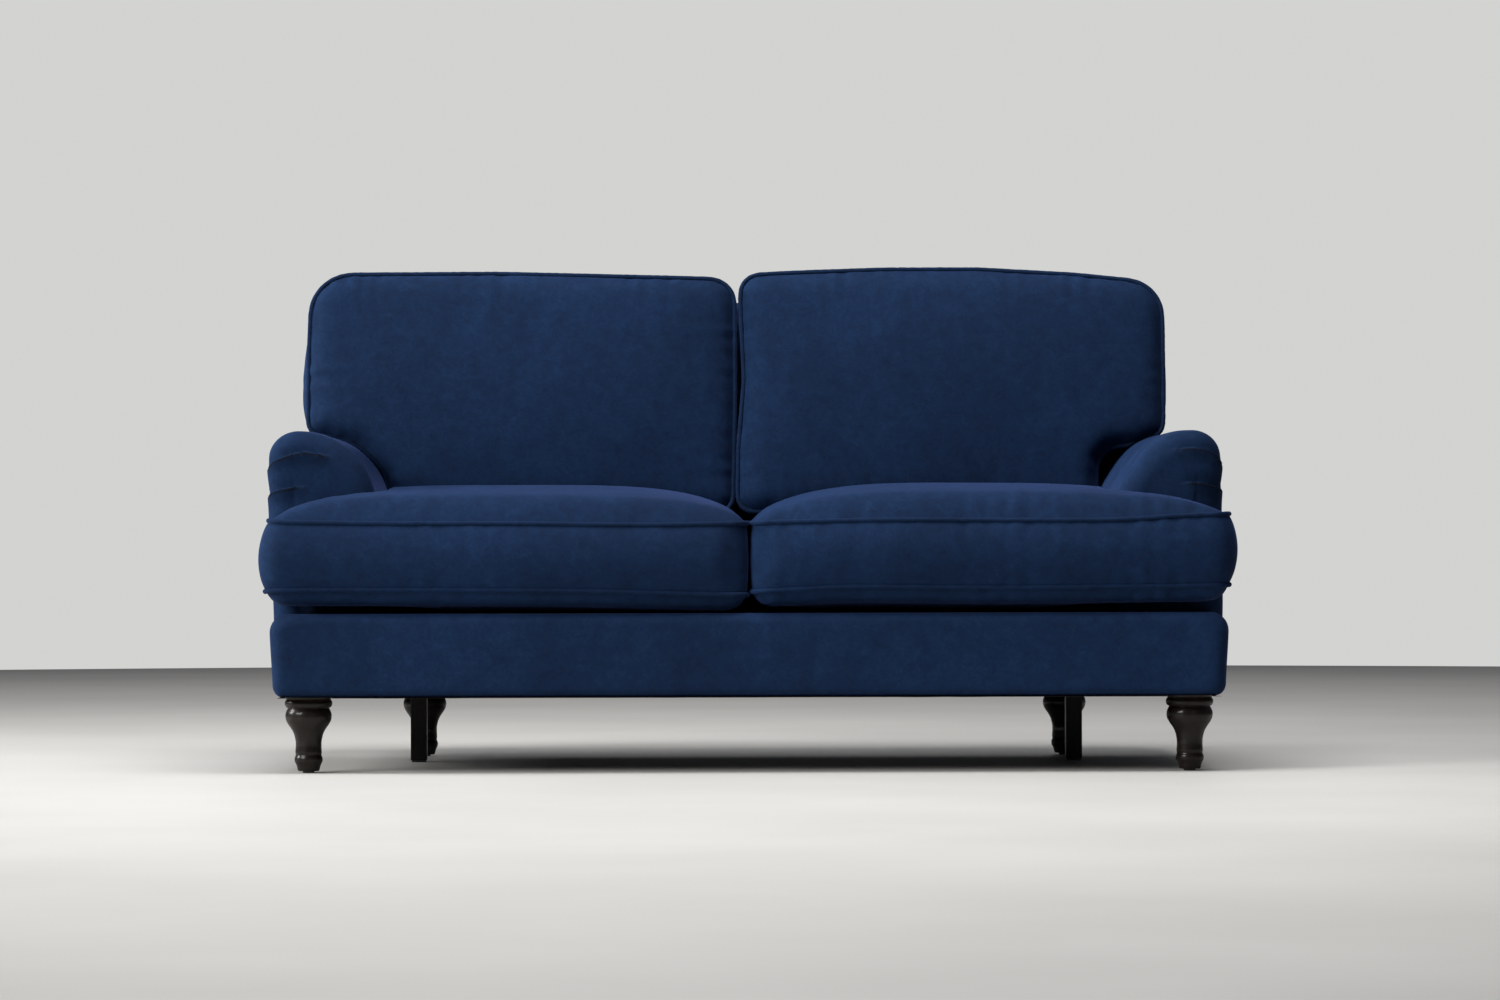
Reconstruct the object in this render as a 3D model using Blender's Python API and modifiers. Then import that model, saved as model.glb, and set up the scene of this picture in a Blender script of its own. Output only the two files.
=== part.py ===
"""Two-seat roll-arm sofa on turned wooden legs.

A timber frame with sinuous springs, padded arms, border and back, two T-shaped seat cushions
that pull out forwards and two boxed back cushions that lift out. Metres, +Z up, the front faces
-Y, and the origin is on the floor under the middle of the sofa.
"""

import math

import bmesh
import bpy

# Overall
GAP = 0.0003                # clearance between pieces that touch
BASE_HALF = 0.850           # half width of the upholstered base
BASE_FRONT = -0.455         # front of the border
BASE_BACK = 0.470           # back of the outside back panel
BASE_BOTTOM = 0.1345        # underside of the base
DECK_TOP = 0.2827           # top of the sprung seat deck and of the border
DECK_LOW = 0.2600
DECK_REAR_GAP = 0.0012
BORDER_CORNER = 0.030
PAD_RIM = 0.008             # rounding of the border's top and of the arm fronts
DUST_HALF = 0.846
DUST_DEPTH = (-0.451, 0.4640)
DUST_THICK = 0.0015
LEG_HOLE = 0.046            # radius of the dust cover's hole round a leg

# Frame timber
RAIL_THICK = 0.028
RAIL_TOP = 0.2550
RAIL_LOW = BASE_BOTTOM + GAP
SIDE_OUT = 0.8277           # outer face of the side rails
FRONT_RAIL_Y = -0.4327      # front face of the front rail
BACK_RAIL_Y = 0.4647        # rear face of the back rail
INNER_RAIL_X = 0.614        # centre line of the joists that carry the rear legs
JOIST_HALF = 0.030
JOIST_TOP = 0.190
BLOCK_IN = 0.735            # inner side and rear face of the front corner blocks
BLOCK_BACK = -0.325
TIMBER_EDGE = 0.002

# Legs
FRONT_LEG = (0.7836, -0.385)
REAR_LEG = (INNER_RAIL_X, 0.335)
POST = (0.611, 0.065)
POST_HALF = 0.015
POST_EDGE = 0.0012
PAD_INSET = 0.002
GLIDE_HEIGHT = 0.003
STUD_RADIUS = 0.004
STUD_LOW = 0.105
STUD_HIGH = 0.165
STUD_ROOM = 0.0006
GLIDE_RADIUS = 0.0107
LEG_FOOT = 0.0033           # underside of the legs and posts, on their glides and pads
# radius and height of the turned leg, from the top plate down to the foot
LEG_PROFILE = (
    (0.0000, 0.1345), (0.0400, 0.1345), (0.0422, 0.1220), (0.0400, 0.1158), (0.0370, 0.1146),
    (0.0392, 0.1095), (0.0411, 0.1000), (0.0388, 0.0888), (0.0294, 0.0765), (0.0251, 0.0642),
    (0.0230, 0.0538), (0.0230, 0.0438), (0.0242, 0.0356), (0.0228, 0.0315), (0.0247, 0.0233),
    (0.0214, 0.0132), (0.0194, 0.0052), (0.0175, LEG_FOOT), (0.0000, LEG_FOOT),
)

# Springs
SPRING_X = (-0.52, -0.32, -0.12, 0.12, 0.32, 0.52)
SPRING_BENDS = 16
SPRING_SWING = 0.030        # half width of the zigzag
WIRE_RADIUS = 0.002
SPRING_FRONT = -0.420
SPRING_BACK = 0.450

# Arms
ARM_FRONT = -0.335
ARM_BACK = 0.4647
ARM_IN = 0.662
ARM_WALL = 0.020
ARM_PAD_BACK = -0.3147
ROLL_IN = (0.802, 0.469, 0.140)       # x, z and radius of the roll's inner arc
ROLL_OUT = (0.802, 0.554, 0.055)      # and of its outer arc
SIDE_FOOT = (BASE_HALF, RAIL_LOW)
SIDE_DECK = (0.8515, 0.280)
SIDE_BELLY = (0.8555, 0.420)
SKIRT_IN = 0.832            # inner face of the side panel below the deck
ARM_POST = (0.712, -0.290, 0.160)     # inner side, rear face and foot of the front post
ARM_BOARD = (0.737, 0.805)            # inner and outer side of the board inside the roll
ARM_BOARD_END = 0.430
ARM_BOARD_LOW = 0.540
ARM_BOARD_THICK = 0.022

# Back
LEAN = math.radians(6.84)
BACK_PAD_Y = 0.302          # inside face of the back at deck height
BACK_WALL = 0.043
BACK_WING = 0.790           # half width above the arms
BACK_CORNER = 0.070
BACK_SIDE_TOP = 0.790       # where the rounded top corners start
BACK_CROWN = 0.012
BACK_CLEAR = 0.0035         # gap between the fixed back and the arms
BACK_SHELL = 0.020          # thickness of its top and sides round the hollow
BACK_TOP_RAIL = (0.785, 0.830)
TOP_RAIL_HALF = 0.700
UPRIGHT_X = {"left": -0.590, "center": 0.0, "right": 0.590}
UPRIGHT_HALF = 0.030
WEB_HALF = 0.620
WEB_LOW = {"lower": 0.400, "upper": 0.580}
WEB_WIDTH = 0.050
WEB_THICK = 0.0022
PANEL_FRONT = 0.4650
PANEL_INSET = 0.0015        # how far the panel stays inside the arms' outline

# Cushions
SEAT_SPLIT = 0.003          # half of the gap between the two seat cushions
SEAT_FRONT = -0.470
SEAT_REAR = 0.296
SEAT_EAR = 0.862            # outer side of the ears in front of the arms
SEAT_SIDE = 0.6585          # side of the cushion between the arms
SEAT_EAR_BACK = -0.3385
SEAT_LOW = 0.2832
# the seat cushion's side profile as depth and height, from the front of its underside round
SEAT_PROFILE = (
    (-0.430, SEAT_LOW), (0.270, SEAT_LOW), (SEAT_REAR, 0.310), (SEAT_REAR, 0.440),
    (0.100, 0.4635), (0.045, 0.4980), (-0.100, 0.5105), (-0.280, 0.5050), (-0.390, 0.4830),
    (-0.450, 0.4560), (SEAT_FRONT, 0.4380), (SEAT_FRONT, 0.3240), (-0.458, 0.3020),
)
BACK_THICK = 0.210
BACK_SEAM = {"left": 0.0190, "right": -0.0130}   # inner side, out from the middle
BACK_OUTER = {"left": 0.8260, "right": 0.7860}   # outer side
CUSHION_FOOT = (0.105, 0.4665)                   # y and z of the lower front edge
CUSHION_HEIGHT = 0.4675
CUSHION_OUT_CORNER = 0.070
CUSHION_IN_CORNER = 0.030
INNER_TOP_DROP = 0.006      # how much lower the inner top corner sits
CUSHION_RIM = 0.018         # rounding of the front and rear edges
NOTCH_ROOM = 0.005          # clearance between the cushion's notch and the arm
SLIDER_X = (0.080, 0.088)
SLIDER_REACH = 0.0040       # how far a slider stands off the cushion's rear face
SEAT_SLIDER_Z = (0.374, 0.386)
BACK_SLIDER_V = (0.050, 0.062)
OUTSIDE = 0.950             # a cutter's far side, clear of the sofa

SIDES = {"left": -1, "right": 1}


def clear_scene():
    for obj in list(bpy.data.objects):
        bpy.data.objects.remove(obj, do_unlink=True)


def make_collection(name):
    collection = bpy.data.collections.new(name)
    bpy.context.scene.collection.children.link(collection)
    return collection


def make_material(name, colour, roughness, metallic=0.0):
    material = bpy.data.materials.new(name)
    material.use_nodes = True
    shader = material.node_tree.nodes["Principled BSDF"]
    shader.inputs["Base Color"].default_value = (*colour, 1.0)
    shader.inputs["Roughness"].default_value = roughness
    shader.inputs["Metallic"].default_value = metallic
    material.diffuse_color = (*colour, 1.0)
    return material


# ---------------------------------------------------------------- shape tools

def place(name, mesh, material, location=(0, 0, 0), rotation=(0, 0, 0)):
    """Make the node: one object in the sofa's collection, with one material."""
    mesh.name = name
    mesh.materials.clear()
    if material:
        mesh.materials.append(material)
    obj = bpy.data.objects.new(name, mesh)
    obj.location = location
    obj.rotation_euler = rotation
    PARTS.objects.link(obj)
    return obj


def finish_mesh(bm, smooth_angle=None):
    mesh = bpy.data.meshes.new("mesh")
    bm.to_mesh(mesh)
    bm.free()
    if smooth_angle is not None:
        mesh.shade_smooth()
        mesh.set_sharp_from_angle(angle=math.radians(smooth_angle))
    return mesh


def box(name, low, high, material, bevel=0.0):
    """A box between two corners, with an optional rounded edge."""
    size = [h - l for l, h in zip(low, high)]
    middle = [(h + l) / 2 for l, h in zip(low, high)]
    bm = bmesh.new()
    bmesh.ops.create_cube(bm, size=1.0)
    bmesh.ops.scale(bm, vec=size, verts=bm.verts)
    obj = place(name, finish_mesh(bm), material, middle)
    if bevel:
        edge = obj.modifiers.new("edge", "BEVEL")
        edge.width = bevel
        edge.segments = 1
    return obj


def mirrored_box(name, side, low, high, material, bevel=0.0):
    """The same box on the left or the right: low and high are given for the right side."""
    if SIDES[side] < 0:
        low, high = (-high[0], low[1], low[2]), (-low[0], high[1], high[2])
    return box(name, low, high, material, bevel)


def cylinder(name, radius, low, high, centre, material, sides=12):
    bm = bmesh.new()
    bmesh.ops.create_cone(bm, cap_ends=True, segments=sides, radius1=radius, radius2=radius,
                          depth=high - low)
    mesh = finish_mesh(bm, 40)
    return place(name, mesh, material, (centre[0], centre[1], (low + high) / 2))


def turned(name, profile, centre, material, steps=16):
    """Spin a profile of radius and height, listed from the top down, about its own axis."""
    mesh = bpy.data.meshes.new(name)
    verts = [(radius, 0.0, height) for radius, height in profile]
    mesh.from_pydata(verts, [(i, i + 1) for i in range(len(verts) - 1)], [])
    obj = place(name, mesh, material, (centre[0], centre[1], 0.0))
    screw = obj.modifiers.new("turning", "SCREW")
    screw.axis = "Z"
    screw.steps = screw.render_steps = steps
    screw.use_merge_vertices = True
    screw.merge_threshold = 0.00001
    return obj


# rotation that lays an outline's own x and y along two world axes
PLANES = {
    "XY": (0.0, 0.0, 0.0),
    "XZ": (math.radians(90), 0.0, 0.0),
    "YZ": (math.radians(90), 0.0, math.radians(90)),
}
# direction of the outline's own +z in world space
NORMALS = {"XY": (0, 0, 1), "XZ": (0, -1, 0), "YZ": (1, 0, 0)}


def outline_mesh(outline, thickness):
    """A flat outline as a filled 2D curve with a thickness, welded into a mesh."""
    curve = bpy.data.curves.new("outline", "CURVE")
    curve.dimensions = "2D"
    curve.fill_mode = "BOTH"
    curve.extrude = thickness / 2
    spline = curve.splines.new("POLY")
    spline.points.add(len(outline) - 1)
    for point, (u, v) in zip(spline.points, outline):
        point.co = (u, v, 0.0, 1.0)
    spline.use_cyclic_u = True
    guide = bpy.data.objects.new("outline", curve)
    bpy.context.scene.collection.objects.link(guide)
    graph = bpy.context.evaluated_depsgraph_get()
    mesh = bpy.data.meshes.new_from_object(guide.evaluated_get(graph))
    bpy.data.objects.remove(guide, do_unlink=True)
    return mesh


def slab(name, outline, plane, start, end, material, rims=(), rim=0.0):
    """An outline extruded between two places along the axis across its plane.

    rims names the faces, "start" or "end", whose edges are rounded by the width rim.
    """
    bm = bmesh.new()
    bm.from_mesh(outline_mesh(outline, end - start))
    bmesh.ops.remove_doubles(bm, verts=bm.verts, dist=0.00001)
    bmesh.ops.dissolve_limit(bm, angle_limit=math.radians(1), verts=bm.verts, edges=bm.edges)
    bmesh.ops.recalc_face_normals(bm, faces=bm.faces)
    forward = sum(NORMALS[plane]) > 0
    for face in rims:
        level = (end - start) / 2 * (1 if (face == "end") == forward else -1)
        edges = [e for e in bm.edges if all(abs(v.co.z - level) < 0.00001 for v in e.verts)]
        bmesh.ops.bevel(bm, geom=edges, offset=rim, segments=3, affect="EDGES", profile=0.5)
    location = [abs(n) * (start + end) / 2 for n in NORMALS[plane]]
    return place(name, finish_mesh(bm, 35), material, location, PLANES[plane])


def cut(obj, cutter):
    """Take the cutter's shape out of the object."""
    PARTS.objects.unlink(cutter)
    CUTTERS.objects.link(cutter)
    cutter.hide_render = True
    cutter.display_type = "WIRE"
    hole = obj.modifiers.new("cut", "BOOLEAN")
    hole.operation = "DIFFERENCE"
    hole.solver = "EXACT"
    hole.object = cutter
    return obj


def adopt(parent, *children):
    """Parent the children without moving them."""
    bpy.context.view_layer.update()
    for child in children:
        child.parent = parent
        child.matrix_parent_inverse = parent.matrix_world.inverted()


def arc(centre, radius, start, end, count):
    """Points on a circle between two angles in degrees, both ends included."""
    angles = [math.radians(start + (end - start) * i / count) for i in range(count + 1)]
    return [(centre[0] + radius * math.cos(a), centre[1] + radius * math.sin(a)) for a in angles]


def flip(outline, side):
    """An outline drawn for the right side, as it is on the given side."""
    return [(u * SIDES[side], v) for u, v in outline]


def both_halves(half):
    """A symmetric outline from its right half, which runs up from the bottom."""
    return half + [(-u, v) for u, v in reversed(half) if u > 0.0001]


# ---------------------------------------------------------------- timber frame

def build_base_frame():
    inner_y = (FRONT_RAIL_Y + RAIL_THICK + GAP, BACK_RAIL_Y - RAIL_THICK - GAP)
    box("front_rail", (-SIDE_OUT, FRONT_RAIL_Y, RAIL_LOW),
        (SIDE_OUT, FRONT_RAIL_Y + RAIL_THICK, RAIL_TOP), WOOD, TIMBER_EDGE)
    box("back_rail", (-SIDE_OUT, BACK_RAIL_Y - RAIL_THICK, RAIL_LOW),
        (SIDE_OUT, BACK_RAIL_Y, RAIL_TOP), WOOD, TIMBER_EDGE)
    box("center_joist", (-JOIST_HALF, inner_y[0], RAIL_LOW), (JOIST_HALF, inner_y[1], JOIST_TOP),
        WOOD, TIMBER_EDGE)
    for side in SIDES:
        mirrored_box(f"side_rail_{side}", side, (SIDE_OUT - RAIL_THICK, inner_y[0], RAIL_LOW),
                     (SIDE_OUT, inner_y[1], RAIL_TOP), WOOD, TIMBER_EDGE)
        joist = mirrored_box(f"inner_joist_{side}", side,
                             (INNER_RAIL_X - JOIST_HALF, inner_y[0], RAIL_LOW),
                             (INNER_RAIL_X + JOIST_HALF, inner_y[1], JOIST_TOP), WOOD)
        cut_stud_hole(joist, REAR_LEG, side)
        block = mirrored_box(f"front_corner_block_{side}", side, (BLOCK_IN, inner_y[0], RAIL_LOW),
                             (SIDE_OUT - RAIL_THICK - GAP, BLOCK_BACK, JOIST_TOP), WOOD)
        cut_stud_hole(block, FRONT_LEG, side)


def build_arm_frame(side):
    post_in, post_back, post_foot = ARM_POST
    mirrored_box(f"arm_front_post_{side}", side, (post_in, ARM_PAD_BACK + GAP, post_foot),
                 (SIDE_OUT - RAIL_THICK - GAP, post_back, ARM_BOARD_LOW - GAP), WOOD, TIMBER_EDGE)
    board_in, board_out = ARM_BOARD
    mirrored_box(f"arm_top_board_{side}", side, (board_in, ARM_PAD_BACK + GAP, ARM_BOARD_LOW),
                 (board_out, ARM_BOARD_END, ARM_BOARD_LOW + ARM_BOARD_THICK), WOOD, TIMBER_EDGE)


def build_back_frame():
    front = BACK_RAIL_Y - RAIL_THICK
    for side, x in UPRIGHT_X.items():
        box(f"back_upright_{side}", (x - UPRIGHT_HALF, front, RAIL_TOP + GAP),
            (x + UPRIGHT_HALF, BACK_RAIL_Y, BACK_TOP_RAIL[0] - GAP), WOOD, TIMBER_EDGE)
    box("back_top_rail", (-TOP_RAIL_HALF, front, BACK_TOP_RAIL[0]),
        (TOP_RAIL_HALF, BACK_RAIL_Y, BACK_TOP_RAIL[1]), WOOD, TIMBER_EDGE)
    for name, low in WEB_LOW.items():
        box(f"back_web_{name}", (-WEB_HALF, front - GAP - WEB_THICK, low),
            (WEB_HALF, front - GAP, low + WEB_WIDTH), WEBBING)


# ---------------------------------------------------------------- legs

def cut_stud_hole(obj, centre, side):
    spot = (centre[0] * SIDES[side], centre[1])
    hole = cylinder(f"{obj.name}_stud_hole", STUD_RADIUS + STUD_ROOM, STUD_LOW - STUD_ROOM,
                    STUD_HIGH + STUD_ROOM, spot, None)
    return cut(obj, hole)


def build_leg(place_name, centre, side):
    spot = (centre[0] * SIDES[side], centre[1])
    leg = turned(f"{place_name}_leg_{side}", LEG_PROFILE, spot, LEG_WOOD)
    cut_stud_hole(leg, centre, side)
    stud = cylinder(f"{place_name}_leg_stud_{side}", STUD_RADIUS, STUD_LOW, STUD_HIGH, spot, STEEL)
    glide = cylinder(f"{place_name}_leg_glide_{side}", GLIDE_RADIUS, 0.0, GLIDE_HEIGHT, spot, PLASTIC,
                     16)
    adopt(leg, stud, glide)


def build_post(side):
    x, y = POST
    post = mirrored_box(f"support_post_{side}", side, (x - POST_HALF, y - POST_HALF, LEG_FOOT),
                        (x + POST_HALF, y + POST_HALF, BASE_BOTTOM), BLACK_WOOD, POST_EDGE)
    pad_half = POST_HALF - PAD_INSET
    pad = mirrored_box(f"post_pad_{side}", side, (x - pad_half, y - pad_half, 0.0),
                       (x + pad_half, y + pad_half, GLIDE_HEIGHT), PLASTIC)
    adopt(post, pad)


# ---------------------------------------------------------------- springs and deck

def build_spring(index, x):
    """A sinuous spring: a flat zigzag of wire from the front rail to the back rail."""
    step = (SPRING_BACK - SPRING_FRONT) / SPRING_BENDS
    points = [(x, SPRING_FRONT)]
    for bend in range(SPRING_BENDS):
        swing = SPRING_SWING if bend % 2 else -SPRING_SWING
        for share in (0.25, 0.75):
            points.append((x + swing, SPRING_FRONT + (bend + share) * step))
    points.append((x, SPRING_BACK))
    curve = bpy.data.curves.new(f"seat_spring_{index}", "CURVE")
    curve.dimensions = "3D"
    curve.bevel_depth = WIRE_RADIUS
    curve.bevel_resolution = 1
    curve.use_fill_caps = True
    curve.materials.append(STEEL)
    spline = curve.splines.new("POLY")
    spline.points.add(len(points) - 1)
    for point, (px, py) in zip(spline.points, points):
        point.co = (px, py, RAIL_TOP + GAP + WIRE_RADIUS, 1.0)
    spring = bpy.data.objects.new(f"seat_spring_{index}", curve)
    PARTS.objects.link(spring)


def build_deck():
    ear_back = ARM_FRONT - GAP
    side = ARM_IN - GAP
    rear = BACK_RAIL_Y - RAIL_THICK - DECK_REAR_GAP
    right = [(side, rear), (side, ear_back), (SIDE_OUT, ear_back), (SIDE_OUT, FRONT_RAIL_Y)]
    outline = right + [(-u, v) for u, v in reversed(right)]
    slab("seat_deck", outline, "XY", DECK_LOW, DECK_TOP, DECK_CLOTH)


def build_border():
    """The padded border: across the front rail and back along the sides to the arms."""
    wall = BASE_HALF - SIDE_OUT - GAP
    end = ARM_FRONT - GAP
    centre = (BASE_HALF - BORDER_CORNER, BASE_FRONT + BORDER_CORNER)
    right = arc(centre, BORDER_CORNER, 270, 360, 4)
    right += [(BASE_HALF, end), (BASE_HALF - wall, end), (BASE_HALF - wall, FRONT_RAIL_Y - GAP)]
    outline = right + [(-u, v) for u, v in reversed(right)]
    slab("front_border", outline, "XY", RAIL_LOW, DECK_TOP, VELVET, ("end",), PAD_RIM)


def build_dust_cover():
    front, rear = DUST_DEPTH
    cover = box("dust_cover", (-DUST_HALF, front, BASE_BOTTOM - DUST_THICK),
                (DUST_HALF, rear, BASE_BOTTOM), CAMBRIC)
    low, high = BASE_BOTTOM - RAIL_THICK, BASE_BOTTOM + RAIL_THICK
    room = POST_HALF + 3 * GAP
    for side, sign in SIDES.items():
        for name, (x, y) in (("front", FRONT_LEG), ("rear", REAR_LEG)):
            spot = (x * sign, y)
            cut(cover, cylinder(f"{name}_hole_{side}", LEG_HOLE, low, high, spot, None, 24))
        cut(cover, mirrored_box(f"post_hole_{side}", side, (POST[0] - room, POST[1] - room, low),
                                (POST[0] + room, POST[1] + room, high), None))


# ---------------------------------------------------------------- arms and back

def roll(inset):
    """The rolled top of the arm from its inner side over to its outer side."""
    inner = arc(ROLL_IN[:2], ROLL_IN[2] - inset, 180, 90, 8)
    outer = arc(ROLL_OUT[:2], ROLL_OUT[2] - inset, 90, 0, 6)
    return inner + outer[1:]


def arm_outside():
    return [SIDE_BELLY, SIDE_DECK, SIDE_FOOT]


def build_arm(side):
    inner_foot = DECK_TOP + 2 * GAP
    skirt = [(SKIRT_IN, RAIL_LOW)]
    cavity = [(SKIRT_IN, ROLL_OUT[1])] + roll(ARM_WALL)[::-1][1:]
    shell = [(ARM_IN, inner_foot)] + roll(0.0) + arm_outside() + skirt + cavity
    shell += [(ARM_IN + ARM_WALL, inner_foot)]
    slab(f"arm_upholstery_{side}", flip(shell, side), "XZ", ARM_PAD_BACK + GAP, ARM_BACK, VELVET)
    face = [(ARM_IN, inner_foot)] + roll(0.0) + arm_outside() + skirt + [(SKIRT_IN, inner_foot)]
    slab(f"arm_front_pad_{side}", flip(face, side), "XZ", ARM_FRONT, ARM_PAD_BACK, VELVET,
         ("start",), PAD_RIM)


def back_top(inset):
    """Right half of the back's rounded top, from the wing's side up to the middle."""
    corner = BACK_CORNER - inset
    centre = (BACK_WING - BACK_CORNER, BACK_SIDE_TOP)
    top = BACK_SIDE_TOP + corner
    return arc(centre, corner, 0, 90, 6) + [(0.0, top + BACK_CROWN)]


def lean_front(obj, level):
    """Tilt the front face back by LEAN about the line at the given height."""
    for vert in obj.data.vertices:
        front = vert.co.z > 0           # the outline's +z points to the front
        if front:
            vert.co.z -= math.tan(LEAN) * (vert.co.y - level)


def build_back():
    """The fixed back: a padded shell over its frame, and the outside panel behind it."""
    low = DECK_TOP + 2 * GAP
    half = [(ARM_IN - BACK_CLEAR, low)]
    half += arc(ROLL_IN[:2], ROLL_IN[2] + BACK_CLEAR, 180, 90, 8) + back_top(0.0)
    back = slab("back_upholstery", both_halves(half), "XZ", BACK_PAD_Y, ARM_BACK, VELVET)
    lean_front(back, low)
    room = BACK_CLEAR + BACK_SHELL
    half = [(ARM_IN - room, low - RAIL_THICK)]
    half += arc(ROLL_IN[:2], ROLL_IN[2] + room, 180, 90, 8) + back_top(BACK_SHELL)
    inside = BACK_PAD_Y + BACK_WALL
    hollow = slab("back_hollow", both_halves(half), "XZ", inside, ARM_BACK + BACK_WALL, None)
    lean_front(hollow, low)
    cut(back, hollow)
    side = [(ROLL_OUT[0] + ROLL_OUT[2], ROLL_OUT[1])] + arm_outside()
    half = [(x - PANEL_INSET, z) for x, z in reversed(side)]
    half += arc(ROLL_OUT[:2], ROLL_OUT[2] - PANEL_INSET, 15, 90, 5)
    half += [(BACK_WING, ROLL_IN[1] + ROLL_IN[2] + BACK_CLEAR)] + back_top(0.0)
    slab("outside_back_panel", both_halves(half), "XZ", PANEL_FRONT, BASE_BACK, VELVET)


# ---------------------------------------------------------------- cushions

def build_seat_cushion(side):
    """A T-shaped seat cushion: the side profile across its width, less the room for the arm."""
    span = sorted((SEAT_SPLIT * SIDES[side], SEAT_EAR * SIDES[side]))
    cushion = slab(f"seat_cushion_{side}", SEAT_PROFILE, "YZ", *span, VELVET)
    room = mirrored_box(f"arm_room_{side}", side, (SEAT_SIDE, SEAT_EAR_BACK, BASE_BOTTOM),
                        (OUTSIDE, ARM_BACK, ROLL_OUT[1]), None)
    cut(cushion, room)
    slider = mirrored_box(f"seat_zip_slider_{side}", side,
                          (SLIDER_X[0], SEAT_REAR + GAP, SEAT_SLIDER_Z[0]),
                          (SLIDER_X[1], SEAT_REAR + SLIDER_REACH, SEAT_SLIDER_Z[1]), STEEL)
    adopt(cushion, slider)


def build_back_cushion(side):
    """A boxed back cushion with a notch round the arm, standing in its own leaning frame."""
    foot_y, foot_z = CUSHION_FOOT
    inner, outer = BACK_SEAM[side], BACK_OUTER[side]
    big, small = CUSHION_OUT_CORNER, CUSHION_IN_CORNER
    outline = [(inner, 0.0), (outer, 0.0)]
    outline += arc((outer - big, CUSHION_HEIGHT - big), big, 0, 90, 5)
    outline += arc((inner + small, CUSHION_HEIGHT - small - INNER_TOP_DROP), small, 90, 180, 3)
    cushion = slab(f"back_cushion_{side}", flip(outline, side), "XZ", 0.0, BACK_THICK, VELVET,
                   ("start", "end"), CUSHION_RIM)
    notch = [(ARM_IN - NOTCH_ROOM, DECK_TOP)]
    notch += arc(ROLL_IN[:2], ROLL_IN[2] + NOTCH_ROOM, 180, 90, 8)
    notch += [(OUTSIDE, ROLL_IN[1] + ROLL_IN[2] + NOTCH_ROOM), (OUTSIDE, DECK_TOP)]
    cut(cushion, slab(f"arm_notch_{side}", flip(notch, side), "XZ", 0.0, ARM_BACK, None))
    slider = mirrored_box(f"back_zip_slider_{side}", side,
                          (SLIDER_X[0], BACK_THICK + GAP, BACK_SLIDER_V[0]),
                          (SLIDER_X[1], BACK_THICK + SLIDER_REACH, BACK_SLIDER_V[1]), STEEL)
    frame = bpy.data.objects.new(f"back_cushion_frame_{side}", None)
    PARTS.objects.link(frame)
    adopt(frame, cushion, slider)
    frame.location = (0.0, foot_y, foot_z)
    frame.rotation_euler = (-LEAN, 0.0, 0.0)


clear_scene()
PARTS = make_collection("roll_arm_sofa")
CUTTERS = make_collection("cutters")
WOOD = make_material("frame_timber", (0.55, 0.36, 0.19), 0.60)
LEG_WOOD = make_material("leg_wood", (0.030, 0.020, 0.015), 0.35)
BLACK_WOOD = make_material("post_wood", (0.012, 0.011, 0.011), 0.50)
VELVET = make_material("navy_velvet", (0.016, 0.034, 0.090), 0.85)
DECK_CLOTH = make_material("deck_cloth", (0.020, 0.022, 0.030), 0.90)
CAMBRIC = make_material("dust_cloth", (0.010, 0.010, 0.011), 0.95)
WEBBING = make_material("webbing", (0.30, 0.24, 0.15), 0.90)
STEEL = make_material("spring_steel", (0.45, 0.45, 0.46), 0.35, 1.0)
PLASTIC = make_material("glide_plastic", (0.015, 0.015, 0.015), 0.45)

build_base_frame()
build_back_frame()
build_deck()
build_border()
build_dust_cover()
build_back()
for number, spring_x in enumerate(SPRING_X, start=1):
    build_spring(number, spring_x)
for hand in SIDES:
    build_leg("front", FRONT_LEG, hand)
    build_leg("rear", REAR_LEG, hand)
    build_post(hand)
    build_arm_frame(hand)
    build_arm(hand)
    build_seat_cushion(hand)
    build_back_cushion(hand)
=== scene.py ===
# Looks of the two-seat roll-arm sofa: velvet covers with piping, turned legs, light and camera.
# Everything is in metres in the frame's own axes: +X right, the front faces -Y, +Z up.

import math

import bmesh
import bpy
import numpy as np
from mathutils import Matrix, Vector


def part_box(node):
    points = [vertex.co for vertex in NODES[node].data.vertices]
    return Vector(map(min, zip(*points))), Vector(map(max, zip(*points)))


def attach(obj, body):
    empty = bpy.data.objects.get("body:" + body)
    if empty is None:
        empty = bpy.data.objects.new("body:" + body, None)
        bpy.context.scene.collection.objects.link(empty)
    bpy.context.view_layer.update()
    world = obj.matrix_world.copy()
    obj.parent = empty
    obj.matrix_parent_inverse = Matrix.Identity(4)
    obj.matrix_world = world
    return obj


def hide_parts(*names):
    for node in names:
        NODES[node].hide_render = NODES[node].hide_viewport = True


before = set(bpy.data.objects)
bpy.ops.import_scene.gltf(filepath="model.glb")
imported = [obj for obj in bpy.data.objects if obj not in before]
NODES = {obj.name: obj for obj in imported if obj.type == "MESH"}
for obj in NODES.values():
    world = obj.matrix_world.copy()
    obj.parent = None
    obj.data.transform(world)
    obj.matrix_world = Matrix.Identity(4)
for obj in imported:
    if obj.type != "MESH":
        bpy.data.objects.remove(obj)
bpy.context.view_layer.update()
SIDES = {"left": -1.0, "right": 1.0}

# ---------------------------------------------------------------- places read from the frame

ARM_LOW, ARM_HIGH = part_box("arm_upholstery_right")
BORDER_LOW, BORDER_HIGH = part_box("front_border")
DECK_LOW, DECK_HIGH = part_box("seat_deck")
SEAT_LOW, SEAT_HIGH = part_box("seat_cushion_right")
BACK_LOW, BACK_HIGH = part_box("back_upholstery")
PANEL_LOW, PANEL_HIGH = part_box("outside_back_panel")

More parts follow.
